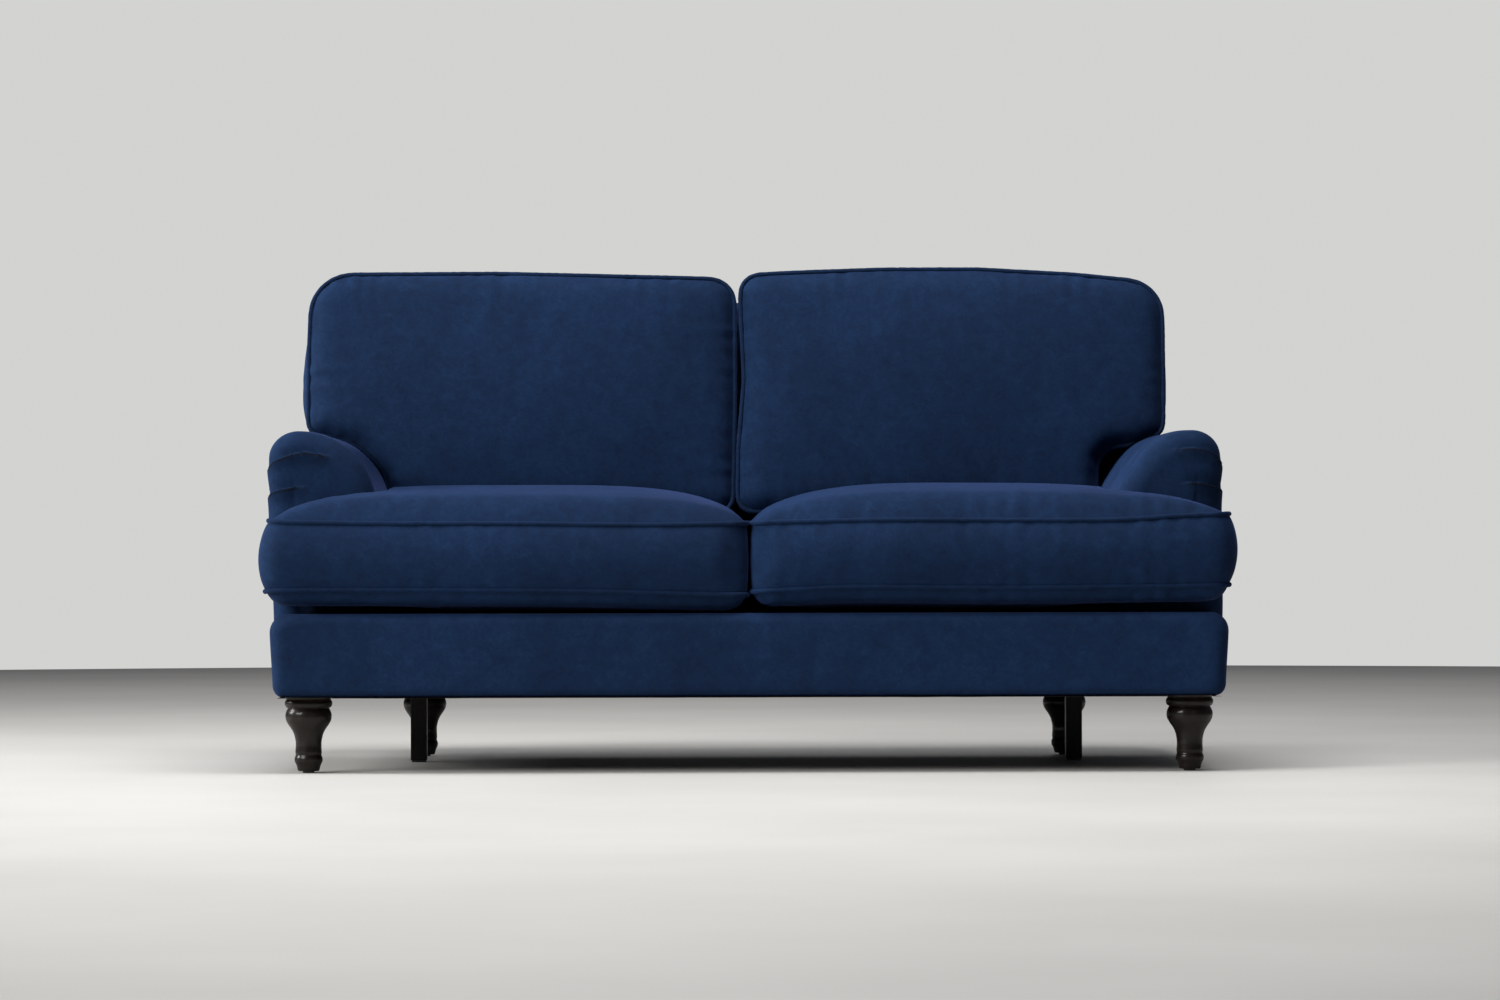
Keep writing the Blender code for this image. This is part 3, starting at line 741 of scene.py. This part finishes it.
def seat_stuffing(sign):
    """The crown, belly and side bulge of a seat cushion."""
    half_u = SEAT_OUT / 2
    mid_v, half_v = (SEAT_FRONT + SEAT_REAR) / 2, (SEAT_REAR - SEAT_FRONT) / 2

    def crown(u, v, inset, edge_u, edge_v):
        a = np.clip((np.abs(u) - half_u) / half_u, -1, 1)
        b = np.clip((v - mid_v) / half_v, -1, 1)
        ends = (1 - a ** 4) ** 0.7
        if sign > 0:
            ends = np.where(a > 0, (1 - np.abs(a) ** 3) ** 0.85, ends)
        dome = ends * (1 - b * b) ** 0.2
        beside_arm = (edge_v > ARM_FRONT - 0.010) & (np.abs(edge_u) > 0.3)
        height = SEAT_CROWN * dome * quarter(inset / np.where(beside_arm, 0.006, 0.035))
        foot_y, foot_z = BACK_FOOT
        pressed = foot_z - 0.0035 - math.tan(LEAN) * (v - foot_y) - SEAT_SEAMS[1]
        pressed = pressed + smoothstep(-v, -foot_y + 0.012, -foot_y + 0.085) * 0.060
        return np.where(height > 0.001, softmin(height, pressed, 0.0035), height)

    def belly(u, v, inset, edge_u, edge_v):
        return 0.0290 * quarter(inset / 0.045) + 0.0100 * smoothstep(inset, 0.040, 0.16)

    def bulge(u, v):
        amount = 0.0165 * smoothstep(-v, -ARM_FRONT - 0.01, -ARM_FRONT + 0.04)
        outer = smoothstep(np.abs(u), 0.02, 0.06)
        return amount * outer + 0.0030 * (1 - outer)

    return crown, belly, bulge


def seat_cushion(side, seed):
    sign, body, flat = SIDES[side], f"seat_cushion_{side}", Matrix.Identity(4)
    outline = seat_outline(sign)
    if sign < 0:
        outline = mirrored(outline)
    cushion = Cushion(f"{body}_cover", outline, *SEAT_SEAMS, flat, body, seed)
    obj = cushion.make(seat_stuffing(sign), 3.0, (0.0014, 0.032), 1, SEAT_REAR)
    cushion.finish(obj, f"seat_cushion_{side}", seat_fit(side))
    zip_chain(f"seat_zip_{side}", sign, SEAT_REAR + 0.0003, 0.380, flat, body)


def clear_of_arms(points, room=0.0030):
    """Push points out of the arms' rolled tops."""
    points = points.copy()
    centre_x, centre_z, radius = ROLL_IN
    shift = ARM_SHIFT * np.sign(points[:, 0])
    across, height = np.abs(points[:, 0]) + shift, points[:, 2]
    low = height <= centre_z
    reach = np.hypot(across - centre_x, height - centre_z)
    limit = radius + room
    inside = ~low & (across < centre_x) & (reach < limit)
    scale = np.where(inside, limit / np.maximum(reach, 1e-6), 1.0)
    across = np.where(inside, centre_x + (across - centre_x) * scale, across)
    height = np.where(inside, centre_z + (height - centre_z) * scale, height)
    across = np.where(low, np.minimum(across, ARM_IN - room), across)
    over = (across >= centre_x) & (height < ARM_TOP + room)
    height = np.where(over, ARM_TOP + room, height)
    points[:, 0], points[:, 2] = np.sign(points[:, 0]) * (across - shift), height
    return points


# outlines of the back cushions in their leaning plane, from the inner foot round: distance
# out from the middle, height up the lean and corner radius
BACK_KEYS = {
    "left": (
        (0.0255, 0.000, 0.022), (0.674, 0.000, 0.020), (0.674, 0.075, 0.040), (0.722, 0.124, 0.050),
        (0.800, 0.148, 0.020), (0.8215, 0.156, 0.008), (0.8210, 0.290, 0.300), (0.8165, 0.4505, 0.077),
        (0.460, 0.4520, 1.500), (0.120, 0.4435, 0.300), (0.0205, 0.4405, 0.045), (0.0209, 0.200, 0.300),
    ),
    "right": (
        (-0.0150, 0.000, 0.026), (0.658, 0.000, 0.020), (0.660, 0.1225, 0.046), (0.738, 0.1245, 0.040),
        (0.780, 0.146, 0.020), (0.7865, 0.158, 0.006), (0.7878, 0.340, 0.300), (0.7870, 0.4320, 0.068),
        (0.620, 0.4490, 0.500), (0.440, 0.4590, 0.500), (0.260, 0.4590, 0.500), (0.084, 0.4530, 0.300),
        (-0.0080, 0.4480, 0.034), (-0.0078, 0.385, 0.200), (-0.0012, 0.250, 0.150),
        (-0.0125, 0.120, 0.200),
    ),
}


def back_outline(side):
    return soften(resample(round_corners(BACK_KEYS[side]), 0.004), 10)


def leaning_axes():
    """The back cushions' axes: u stays along X, v climbs the lean and w goes back."""
    sin, cos = math.sin(LEAN), math.cos(LEAN)
    return Matrix((
        (1.0, 0.0, 0.0, 0.0), (0.0, sin, cos, BACK_FOOT[0]), (0.0, cos, -sin, BACK_FOOT[1]),
        (0.0, 0.0, 0.0, 1.0),
    ))


def back_stuffing(sign, inner, outer, bulge_out):
    """The rear, front and side bulge of a back cushion between its inner and outer ends."""
    middle, half, half_up = (inner + outer) / 2, (outer - inner) / 2, BACK_HEIGHT / 2

    def rear(u, v, inset, edge_u, edge_v):
        return 0.0040 * quarter(inset / 0.030)

    def front(u, v, inset, edge_u, edge_v):
        a = np.clip((u * sign - middle) / half, -1, 1)
        b = np.clip((v - half_up) / half_up, -1, 1)
        dome = (1 - a * a) ** 0.65 * (1 - b * b) ** 0.6
        return 0.030 * dome * quarter(inset / 0.032) + 0.016 * quarter(inset / 0.050)

    def bulge(u, v):
        share = smoothstep(u * sign, outer - 0.035, outer - 0.008)
        high = smoothstep(v, 0.14, 0.22) * (1 - smoothstep(v, 0.25, 0.43))
        return 0.003 + (bulge_out - 0.003) * share * high

    return rear, front, bulge


def back_cushion(side, bulge_out, seed):
    sign, body, axes = SIDES[side], f"back_cushion_{side}", leaning_axes()
    outline = back_outline(side)
    stuffing = back_stuffing(sign, outline[:, 0].min(), outline[:, 0].max(), bulge_out)
    if sign < 0:
        outline = mirrored(outline)
    cushion = Cushion(f"{body}_cover", outline, *BACK_SEAMS, axes, body, seed)
    obj = cushion.make(stuffing, 2.5, (0.0016, 0.036), 2, BACK_REAR)
    cushion.finish(obj, f"back_cushion_{side}", clear_of_arms)
    zip_chain(f"back_zip_{side}", sign, BACK_REAR + 0.0003, 0.056, axes, body)


def blocks(name, places, size, axes, material):
    """Small blocks of one size, as one piece."""
    bm = bmesh.new()
    for place in places:
        block = Matrix.Translation(Vector(place)) @ Matrix.Diagonal((*size, 1))
        bmesh.ops.create_cube(bm, size=1.0, matrix=block)
    mesh = mesh_from(name, bm)
    mesh.transform(axes)
    return link(name, mesh, material)


def zip_chain(name, sign, level, height, axes, body):
    """A zip: a strip of tape with its row of teeth, on the plane y or w = level."""
    start, end = ZIP_REACH
    half_tape, pitch, stagger = 0.011, 0.003, 0.0011
    upright = axes == Matrix.Identity(4)

    def turned(across, up, out):
        """The seat's zip stands on a Y plane, the back's on a w plane."""
        return (across, out, up) if upright else (across, up, out)

    middle = turned(sign * (start + end) / 2, height, level + 0.0002)
    strip = blocks(f"{name}_tape", [middle], turned(end - start, 2 * half_tape, 0.0004), axes, TAPE)
    places = []
    for number in range(int((end - start - 0.02) / pitch)):
        up = height + (stagger if number % 2 else -stagger)
        places.append(turned(sign * (start + 0.010 + number * pitch), up, level + 0.00035))
    row = blocks(f"{name}_teeth", places, turned(0.0018, 0.0034, 0.0007), axes, PLASTIC)
    declare(strip, body)
    declare(row, body)


# ---------------------------------------------------------------- fixed upholstery

def capped_loft(outline, centre, face_rows, rim, rim_rows, depths, crown, closed, rim_depth=None):
    """Rows of points: a face grown out from its centre, a rounded rim, then the sides.

    The outline is in u and v. The third number is the depth behind the face.
    """
    normal = outward(outline, closed)
    rim_depth = rim_depth or rim
    rows = []
    edge = outline - normal * rim
    for share in np.linspace(0.0, 1.0, face_rows):
        rows.append(at_depth(centre + (edge - centre) * share, -crown * (1 - share ** 2) ** 2))
    for angle in np.linspace(0, np.pi / 2, rim_rows)[1:]:
        line = outline - normal * rim * (1 - math.sin(angle))
        rows.append(at_depth(line, rim_depth * (1 - math.cos(angle))))
    return np.array(rows + [at_depth(outline, depth) for depth in depths])


def roll():
    """The arm's rolled top, from its outside over to its inside."""
    outer = arc(ROLL_OUT[:2], ROLL_OUT[2], 0, 90, 30)
    inner = arc(ROLL_IN[:2], ROLL_IN[2], 90, 180, 40)
    return np.vstack([outer, inner])


def arm_contour():
    """The arm's section from its outside over the roll to its inner foot."""
    outside = [(ARM_OUT - 0.0055, ARM_FOOT), (ARM_OUT - 0.0015, 0.420)]
    return resample(np.vstack([outside, roll(), [(ARM_IN, ARM_FOOT)]]), 0.0018, closed=False)


# each tuck: points of its line on the arm's face, from the outer side inwards, as distances
# in from the outer side and down from the top
TUCKS = {
    "left": (((0.000, 0.070), (0.012, 0.056), (0.041, 0.044), (0.072, 0.0395), (0.103, 0.045),
              (0.122, 0.051)),
             ((0.000, 0.120), (0.012, 0.110), (0.035, 0.104), (0.078, 0.099))),
    "right": (((0.000, 0.067), (0.012, 0.048), (0.035, 0.037), (0.065, 0.035), (0.110, 0.039)),
              ((0.000, 0.111), (0.015, 0.103), (0.045, 0.097), (0.082, 0.097))),
}


def tuck_shift(points, normals, tucks):
    """How each point moves because of the tucks, and how much painted shade it gets in their creases.

    A tuck is a lip of cloth folded down over a crease.
    """
    move, fold_shade = np.zeros_like(points), np.zeros(len(points))
    x, y, z = points.T
    for keys in tucks:
        line = smooth_line([(ARM_OUT - a, ARM_TOP - b) for a, b in keys], 24)
        gap, index = nearest(np.column_stack([x, z]), line)
        above = z > line[index, 1]
        signed = np.where(above, gap, -gap)
        along = index / (len(line) - 1)
        behind = np.maximum(y - ARM_FRONT - 0.020, 0)
        strength = (0.35 + 0.65 * smoothstep(along, 0.0, 0.20)) * (1 - smoothstep(along, 0.66, 1.0))
        strength *= np.exp(-behind / 0.040)
        lip = 0.0046 * np.exp(-(signed / 0.017) ** 2) * above
        recess = -0.0050 * np.exp(-(signed / 0.016) ** 2) * ~above
        move += normals * ((lip + recess) * strength)[:, None]
        fold = 0.0024 * np.exp(-np.maximum(signed, 0) / 0.006) * above * strength
        move[:, 2] -= fold * np.clip(-normals[:, 1], 0, 1)
        # painted shade in the crease: narrow above the line, wider below it
        crease_shade = np.where(above, np.exp(-(signed / 0.0010) ** 2), np.exp(-(signed / 0.0034) ** 2))
        crease_shade = crease_shade + 0.30 * np.exp(-(signed / 0.011) ** 2) * ~above
        fold_shade = np.maximum(fold_shade, crease_shade * np.minimum(1.0, strength * 1.5))
    return move, fold_shade


ARM_RIM, ARM_RIM_DEPTH = 0.046, 0.034   # the front edge's rounding, across and in depth


def arm_skirt(contour, depths):
    """The arm's outside from its cover's foot down to the hem."""
    z = np.linspace(ARM_FOOT, BASE_BOTTOM, 30)
    hem = 0.004 * smoothstep(-z, -BASE_BOTTOM - 0.014, -BASE_BOTTOM)
    x = np.interp(z, [BASE_BOTTOM, ARM_FOOT], [BASE_HALF, contour[0, 0]]) - (hem + side_lean(z))
    y = ARM_FACE + np.concatenate([np.linspace(0, ARM_RIM_DEPTH, 12), depths])
    across, back = np.meshgrid(x, y)
    grid = np.stack([across, back, np.broadcast_to(z, across.shape)], -1)
    return grid_object("arm_skirt", grid, VELVET, flip=True)


def build_arm(side):
    contour = arm_contour()
    centre = np.array([ROLL_IN[0] - 0.033, ARM_FOOT])
    depths = np.concatenate([
        np.arange(ARM_RIM_DEPTH + 0.003, 0.10, 0.003),
        np.linspace(0.10, ARM_HIGH.y - ARM_FRONT - 0.001, 60),
    ])
    rows = capped_loft(contour, centre, 120, ARM_RIM, 22, depths, 0.012, False, ARM_RIM_DEPTH)
    points = np.stack([rows[..., 0], ARM_FACE + rows[..., 2], rows[..., 1]], -1)
    points[..., 2] = np.maximum(points[..., 2], ARM_FOOT)
    body = grid_object("arm_body", points, VELVET)
    arm = weld(join(f"arm_{side}_cover", [body, arm_skirt(contour, depths)]), 0.0003)
    if side == "right":
        flatten_shoulder(arm, 0.0095)
    shape_arm(arm, side)
    points = coords(arm)
    if side == "left":
        points[:, 0] *= -1
        arm.data.flip_normals()
    set_coords(arm, settle(points))
    nodes = (f"arm_upholstery_{side}", f"arm_front_pad_{side}")
    declare(arm, "carcass", nodes)


def flatten_shoulder(arm, depth):
    """Press the roll's inner shoulder down towards its middle."""
    points = coords(arm)
    across, up = points[:, 0] - ROLL_IN[0], points[:, 2] - ROLL_IN[1]
    reach = np.maximum(np.hypot(across, up), 1e-6)
    angle = np.degrees(np.arctan2(up, across))
    press = depth * np.exp(-((angle - 146) / 24) ** 2) * (reach / ROLL_IN[2]) ** 3
    press *= 1 - smoothstep(angle, 168, 180)
    points[:, 0] -= across / reach * press
    points[:, 2] -= up / reach * press
    set_coords(arm, points)


def shape_arm(arm, side):
    """Tucks at the front, soft dents along the roll and the sewn line on the outside, with painted shade
    in the tucks' creases and on the roll's inner side.
    """
    points, normals = coords(arm), vertex_normals(arm)
    move, fold_shade = tuck_shift(points, normals, TUCKS[side])
    # pressed: how strong the painted shade on the roll's inner side is
    seed, pressed = (11, 0.60) if side == "left" else (12, 0.35)
    dents = ripple(points[:, 1] + 0.5 * points[:, 2], seed, 4, 6.0)
    shift = 0.0007 * dents * smoothstep(points[:, 2], 0.45, 0.60)
    seam_height = 0.505
    behind = smoothstep(points[:, 1], ARM_FRONT + 0.03, ARM_FRONT + 0.09) * (points[:, 0] > 0.80)
    shift -= 0.0030 * np.exp(-((points[:, 2] - seam_height) / 0.0035) ** 2) * behind
    set_coords(arm, points + move + normals * shift[:, None])
    # painted shade on the roll's inner side and in the tucks' creases
    inner = smoothstep(-normals[:, 0], 0.15, 0.80) * (points[:, 0] < ROLL_IN[0])
    paint_shade(arm, np.maximum(fold_shade, pressed * inner))


def side_lean(z):
    """How far the base's sides come in at height z."""
    return 0.006 * smoothstep(-z, -DECK_TOP + 0.010, -BASE_BOTTOM)


def border_section(side, low, top):
    """The border's section as distances out and heights; side is 0 in front and 1 at a side."""
    crown, foot = 0.018 + 0.016 * side, 0.013 + 0.008 * side
    depth, foot_depth = 0.0215 + 0.012 * side, 0.0215 - 0.004 * side
    angles = np.linspace(0, np.pi / 2, 9)
    lower = [(-foot_depth * (1 - math.sin(a)), low + foot * (1 - math.cos(a))) for a in angles]
    walls = [(0.0, z) for z in np.linspace(low + foot, top - crown, 22)[1:-1]]
    upper = [(-depth * (1 - math.cos(a)), top - crown * (1 - math.sin(a))) for a in angles]
    return [(-foot_depth, low)] + lower + walls + upper


def build_border():
    """The padded border, lofted along its path round the front of the base."""
    corner = 0.030
    bend = arc((BASE_HALF - corner, BORDER_LOW.y + corner), corner, 270, 360, 14)
    right = np.vstack([bend, [(BASE_HALF, ARM_FRONT + 0.0006)]])
    path = resample(np.vstack([mirrored(right), right]), 0.008, closed=False)
    low, top = BASE_BOTTOM + 0.0002, DECK_TOP - 0.0002
    rows = []
    for (x, y), (nx, ny) in zip(path, outward(path, False)):
        side = smoothstep(abs(x), BASE_HALF - 0.055, BASE_HALF)
        section = border_section(side, low, top)
        rows.append([(x + nx * (n - side_lean(z) * side), y + ny * n, z) for n, z in section])
    border = weld(grid_object("front_border_cover", np.array(rows), VELVET), 0.0002)
    points = coords(border)
    height = (points[:, 2] - low) / (top - low)
    face = np.sin(np.pi * np.clip(height, 0, 1)) ** 0.6
    wave = ripple(points[:, 0] + 2.0, 31, 5, 9.0)
    forward = 0.0030 * face + 0.0005 * wave * face
    points[:, 1] -= forward * (points[:, 1] < BORDER_LOW.y + 0.02)
    set_coords(border, points)
    declare(border, "carcass", ("front_border",))


def back_top():
    """The upper part of the fixed back's right half, from the arm round to the middle."""
    corner = 0.070
    wing, side_top = BACK_HIGH.x, BACK_HIGH.z - 0.082
    return np.vstack([
        [(wing, ARM_TOP + 0.014)],
        arc((wing - corner, side_top), corner, 0, 90, 14),
        [(0.35, side_top + corner + 0.009), (0.0, side_top + corner + 0.012)],
    ])


def build_back():
    """The fixed back behind the cushions, leaning at its front and upright at its rear."""
    clear = 0.0045
    half = np.vstack([
        [(ARM_IN - clear, BACK_LOW.z + 0.0006)],
        arc(ROLL_IN[:2], ROLL_IN[2] + clear, 180, 92, 24),
        [(BACK_HIGH.x - 0.004, ARM_TOP + 0.006)], back_top(),
    ])
    outline = soften(resample(mirror_outline(half), 0.008), 14)
    depths = np.linspace(0.024, 0.155, 12)
    rows = capped_loft(outline, np.array([0.0, 0.560]), 70, 0.020, 9, depths, 0.0, True)
    climb = rows[..., 1] - BACK_LOW.z
    swell = np.cos(rows[..., 0] / BACK_HIGH.x * np.pi / 2).clip(0, 1)
    swell *= np.sin(np.pi * np.clip(climb / (BACK_HIGH.z - BACK_LOW.z), 0, 1))
    y = BACK_LOW.y + 0.003 + rows[..., 2] - 0.0035 * swell
    y = y + math.tan(LEAN) * climb * (1 - smoothstep(rows[..., 2], 0.0, 0.150))
    y = np.minimum(y, BACK_HIGH.y - 0.0004)
    points = settle(np.stack([rows[..., 0], y, rows[..., 1]], -1))
    cover = weld(grid_object("back_cover", points, VELVET, wrap=True))
    declare(cover, "carcass", ("back_upholstery",))


def build_outside_back():
    """The flat outside panel of the back, with its piping."""
    half = np.vstack([
        [(PANEL_HIGH.x - 0.0145, PANEL_LOW.z + 0.0006), (PANEL_HIGH.x - 0.0120, 0.284),
         (PANEL_HIGH.x - 0.0040, 0.420)],
        arc(ROLL_OUT[:2], ROLL_OUT[2] - 0.0030, 0, 88, 12),
        [(BACK_HIGH.x + 0.003, ARM_TOP + 0.004)], back_top(),
    ])
    outline = resample(mirror_outline(half), 0.008)
    rows = capped_loft(outline, np.array([0.0, 0.45]), 60, 0.0035, 4, [0.0042], 0.0, True)
    loose = 0.0012 * ripple(rows[..., 0] + 0.4 * rows[..., 1], 51, 4, 14.0)
    y = PANEL_HIGH.y - 0.0025 - rows[..., 2] + loose * smoothstep(-rows[..., 2], -0.0035, 0.0)
    points = settle(np.stack([rows[..., 0], y, rows[..., 1]], -1))
    panel = weld(grid_object("outside_back_cover", points, VELVET, wrap=True, flip=True))
    ring = resample(outline - outward(outline) * 0.001, 0.006)
    height = np.maximum(ring[:, 1], PANEL_LOW.z + 0.0040)
    line = np.column_stack([ring[:, 0], np.full(len(ring), PANEL_LOW.y + 0.001), height])
    welt = tube("outside_back_piping", settle(line), 0.0036, SHADED_PIPING)
    declare(panel, "carcass", ("outside_back_panel",))
    declare(welt, "carcass")


def build_deck():
    """The deck under the seat cushions, slightly dished between its edges."""
    side, out, ear_back = ARM_IN - 0.0012, DECK_HIGH.x - 0.004, ARM_FRONT - 0.0012
    front, rear = DECK_LOW.y + 0.0005, DECK_HIGH.y - 0.0005
    right = [(out, front), (out, ear_back), (side, ear_back), (side, rear)]
    outline = resample(mirror_outline(right), 0.008)
    rows = capped_loft(outline, np.array([0.0, DECK_LOW.y + 0.06]), 70, 0.006, 5,
                       [0.008, 0.014, 0.0215], 0.0, True)
    dip = 0.0035 * np.clip(np.sin(np.pi * (rows[..., 1] - DECK_LOW.y) / 0.87), 0, 1)
    dip *= 0.75 + 0.25 * np.cos(2 * np.pi * rows[..., 0] / 0.20)
    seam = 0.0030 * np.exp(-((rows[..., 1] - DECK_LOW.y - 0.115) / 0.003) ** 2)
    face = smoothstep(-rows[..., 2], -0.006, 0.0)
    z = DECK_TOP - 0.0004 - rows[..., 2] - (dip + seam) * face
    points = np.stack([rows[..., 0], rows[..., 1], z], -1)
    deck = weld(grid_object("deck_cover", points, DECK_CLOTH, wrap=True))
    declare(deck, "carcass", ("seat_deck",))


def cut_hole(cloth, node, radius, sides):
    """Cut the cloth away round a leg or a post."""
    low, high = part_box(node)
    middle = (low + high) / 2
    bm = bmesh.new()
    bmesh.ops.create_cone(bm, cap_ends=True, segments=sides, radius1=radius, radius2=radius, depth=0.06)
    mesh = mesh_from("hole", bm)
    mesh.transform(Matrix.Translation((middle.x, middle.y, BASE_BOTTOM)))
    cutter = link("hole", mesh)
    hole = cloth.modifiers.new("hole", "BOOLEAN")
    hole.operation = "DIFFERENCE"
    hole.object = cutter
    bake(cloth)
    bpy.data.objects.remove(cutter, do_unlink=True)


def build_dust_cover():
    """Thin black cloth under the base, sagging between its stapled edges, with leg holes."""
    low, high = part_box("dust_cover")
    size, centre = high - low, (low + high) / 2
    size.x -= 0.024
    bm = bmesh.new()
    bmesh.ops.create_grid(bm, x_segments=110, y_segments=60, size=0.5)
    cloth = link("dust_cover_cloth", mesh_from("dust_cover_cloth", bm), CAMBRIC)
    across, along = coords(cloth)[:, 0], coords(cloth)[:, 1]
    x, y = across * size.x, along * size.y
    sag = 0.0045 * (np.clip(np.cos(np.pi * along), 0, 1) ** 0.7)
    sag = sag * np.abs(np.sin(3.5 * np.pi * (across + 0.5))) ** 0.8
    creases = 0.0006 * ripple(x + 0.6 * y + 3.0, 41, 6, 8.0) * np.clip(sag / 0.002, 0, 1)
    set_coords(cloth, np.column_stack([x + centre.x, y + centre.y, high.z - 0.0006 - sag + creases]))
    thick = cloth.modifiers.new("thick", "SOLIDIFY")
    thick.thickness = 0.0005
    thick.offset = 0
    bake(cloth)
    for word in ("front", "rear"):
        for side in SIDES:
            cut_hole(cloth, f"{word}_leg_{side}", 0.0455, 40)
    for side in SIDES:
        cut_hole(cloth, f"support_post_{side}", 0.0235, 4)
    declare(cloth, "carcass", ("dust_cover",))


# ---------------------------------------------------------------- legs

# the leg's turned shape from the floor up, as shares of its height and of its widest radius
LEG_STAGES = (
    (0.000, 0.415), (0.012, 0.455), (0.075, 0.507), (0.122, 0.575), (0.152, 0.592),
    (0.180, 0.583), (0.205, 0.550), (0.222, 0.541), (0.240, 0.553), (0.262, 0.556),
    (0.300, 0.548), (0.345, 0.543), (0.400, 0.548), (0.465, 0.585), (0.520, 0.640),
    (0.575, 0.735), (0.630, 0.855), (0.685, 0.945), (0.735, 0.974), (0.785, 0.955),
    (0.825, 0.905), (0.845, 0.872), (0.853, 0.876), (0.862, 0.935), (0.885, 0.985),
    (0.912, 1.000), (0.940, 0.985), (0.962, 0.945), (0.975, 0.930), (1.000, 0.948),
)


def build_leg(word, side):
    node = f"{word}_leg_{side}"
    low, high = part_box(node)
    centre, widest = (low + high) / 2, (high.x - low.x) / 2
    profile = smooth_line(LEG_STAGES, 5)
    heights = low.z + profile[:, 0] * (high.z - low.z)
    radii = profile[:, 1] * widest
    heights = np.concatenate([[low.z, low.z], heights, [high.z, high.z]])
    radii = np.concatenate([[0.0003, radii[0] * 0.7], radii, [radii[-1] * 0.6, 0.0003]])
    angles = np.linspace(0, 2 * np.pi, 72, endpoint=False)
    ring = np.stack([np.cos(angles), np.sin(angles)], -1)
    points = np.empty((len(radii), len(angles), 3))
    points[..., :2] = np.array(centre.xy) + radii[:, None, None] * ring[None]
    points[..., 2] = heights[:, None]
    leg = grid_object(f"{node}_turned", points, LEG_WOOD, wrap=True)
    leg.data.set_sharp_from_angle(angle=math.radians(50))
    declare(leg, "carcass", (node,))


# ---------------------------------------------------------------- frame parts that stay

def dress_frame():
    """Give each CAD node that stays its own procedural finish."""
    finishes = {
        "front_rail": FRAME_X, "back_rail": FRAME_X, "back_top_rail": FRAME_X,
        "side_rail": FRAME_Y, "inner_joist": FRAME_Y, "center_joist": FRAME_Y, "arm_top_board": FRAME_Y,
        "front_corner_block": FRAME_Z, "arm_front_post": FRAME_Z, "back_upright": FRAME_Z,
        "back_web": WEBBING, "seat_spring": STEEL, "front_leg_stud": STEEL, "rear_leg_stud": STEEL,
        "seat_zip_slider": STEEL, "back_zip_slider": STEEL, "front_leg_glide": PLASTIC,
        "rear_leg_glide": PLASTIC, "post_pad": PLASTIC, "support_post": POST_WOOD,
    }
    for name, obj in NODES.items():
        for start, material in finishes.items():
            if name.startswith(start):
                obj.data.materials.clear()
                obj.data.materials.append(material)


# ---------------------------------------------------------------- camera, light and stage

def build_camera():
    """A long lens from the front, a little below the seats."""
    data = bpy.data.cameras.new("camera")
    data.sensor_width, data.lens = 36.0, 121.4
    data.clip_end = 100.0
    camera = bpy.data.objects.new("camera", data)
    bpy.context.scene.collection.objects.link(camera)
    place = Matrix.Translation((-0.114, -9.385, 0.394))
    for degrees, axis in ((-0.736, "Z"), (90.566, "X"), (-0.13, "Z")):
        place = place @ Matrix.Rotation(math.radians(degrees), 4, axis)
    camera.matrix_world = place
    bpy.context.scene.camera = camera


def area_light(name, place, target, size, power, colour=(1, 1, 1)):
    data = bpy.data.lights.new(name, "AREA")
    data.shape = "RECTANGLE"
    data.size, data.size_y = size
    data.energy = power
    data.color = colour
    lamp = bpy.data.objects.new(name, data)
    lamp.location = place
    lamp.rotation_euler = (Vector(target) - Vector(place)).to_track_quat("-Z", "Y").to_euler()
    bpy.context.scene.collection.objects.link(lamp)


def build_floor():
    look = Look("pale_floor", 0.55, Specular_IOR_Level=0.35)
    tone = look.noise(1.3, 3.0)
    look.colour(look.ramp(tone, [(0.3, (0.47, 0.460, 0.440)), (0.7, (0.52, 0.510, 0.490))]))
    bm = bmesh.new()
    bmesh.ops.create_circle(bm, cap_ends=True, segments=128, radius=7.9)
    link("floor", mesh_from("floor", bm), look.material)


def build_world():
    """A pale backdrop for the camera, and a weak bluish light from all round."""
    world = bpy.data.worlds.new("studio")
    world.use_nodes = True
    nodes, links = world.node_tree.nodes, world.node_tree.links
    seen, fill = nodes["Background"], nodes.new("ShaderNodeBackground")
    for node, colour, strength in ((seen, (0.65, 0.655, 0.64), 1.0), (fill, (0.80, 0.84, 0.92), 0.10)):
        node.inputs["Color"].default_value = (*colour, 1.0)
        node.inputs["Strength"].default_value = strength
    path = nodes.new("ShaderNodeLightPath")
    mix = nodes.new("ShaderNodeMixShader")
    links.new(path.outputs["Is Camera Ray"], mix.inputs["Fac"])
    links.new(fill.outputs["Background"], mix.inputs[1])
    links.new(seen.outputs["Background"], mix.inputs[2])
    links.new(mix.outputs["Shader"], nodes["World Output"].inputs["Surface"])
    bpy.context.scene.world = world
    bpy.context.scene.view_settings.view_transform = "Standard"


def build_lights():
    area_light("key", (-5.4, -4.4, 3.6), (0, -0.3, 0.4), (3.4, 2.8), 480, (1.0, 0.985, 0.965))
    area_light("top", (0.1, -1.1, 4.2), (0.0, -0.4, 0.3), (3.2, 2.0), 225)
    area_light("fill", (2.0, -6.5, 2.4), (0, 0, 0.5), (3.0, 2.4), 8, (0.95, 0.97, 1.0))
    area_light("back", (0.2, 5.6, 4.2), (0.0, 0.3, 0.4), (4.5, 3.0), 58)
    area_light("side", (-4.6, 0.3, 1.9), (-0.8, -0.2, 0.4), (1.6, 1.4), 130)


build_camera()
build_floor()
build_world()
build_lights()
dress_frame()
build_border()
build_deck()
build_dust_cover()
build_back()
build_outside_back()
for hand in SIDES:
    build_arm(hand)
    for end in ("front", "rear"):
        build_leg(end, hand)
seat_cushion("left", 3)
seat_cushion("right", 4)
back_cushion("left", 0.0175, 5)
back_cushion("right", 0.0140, 6)
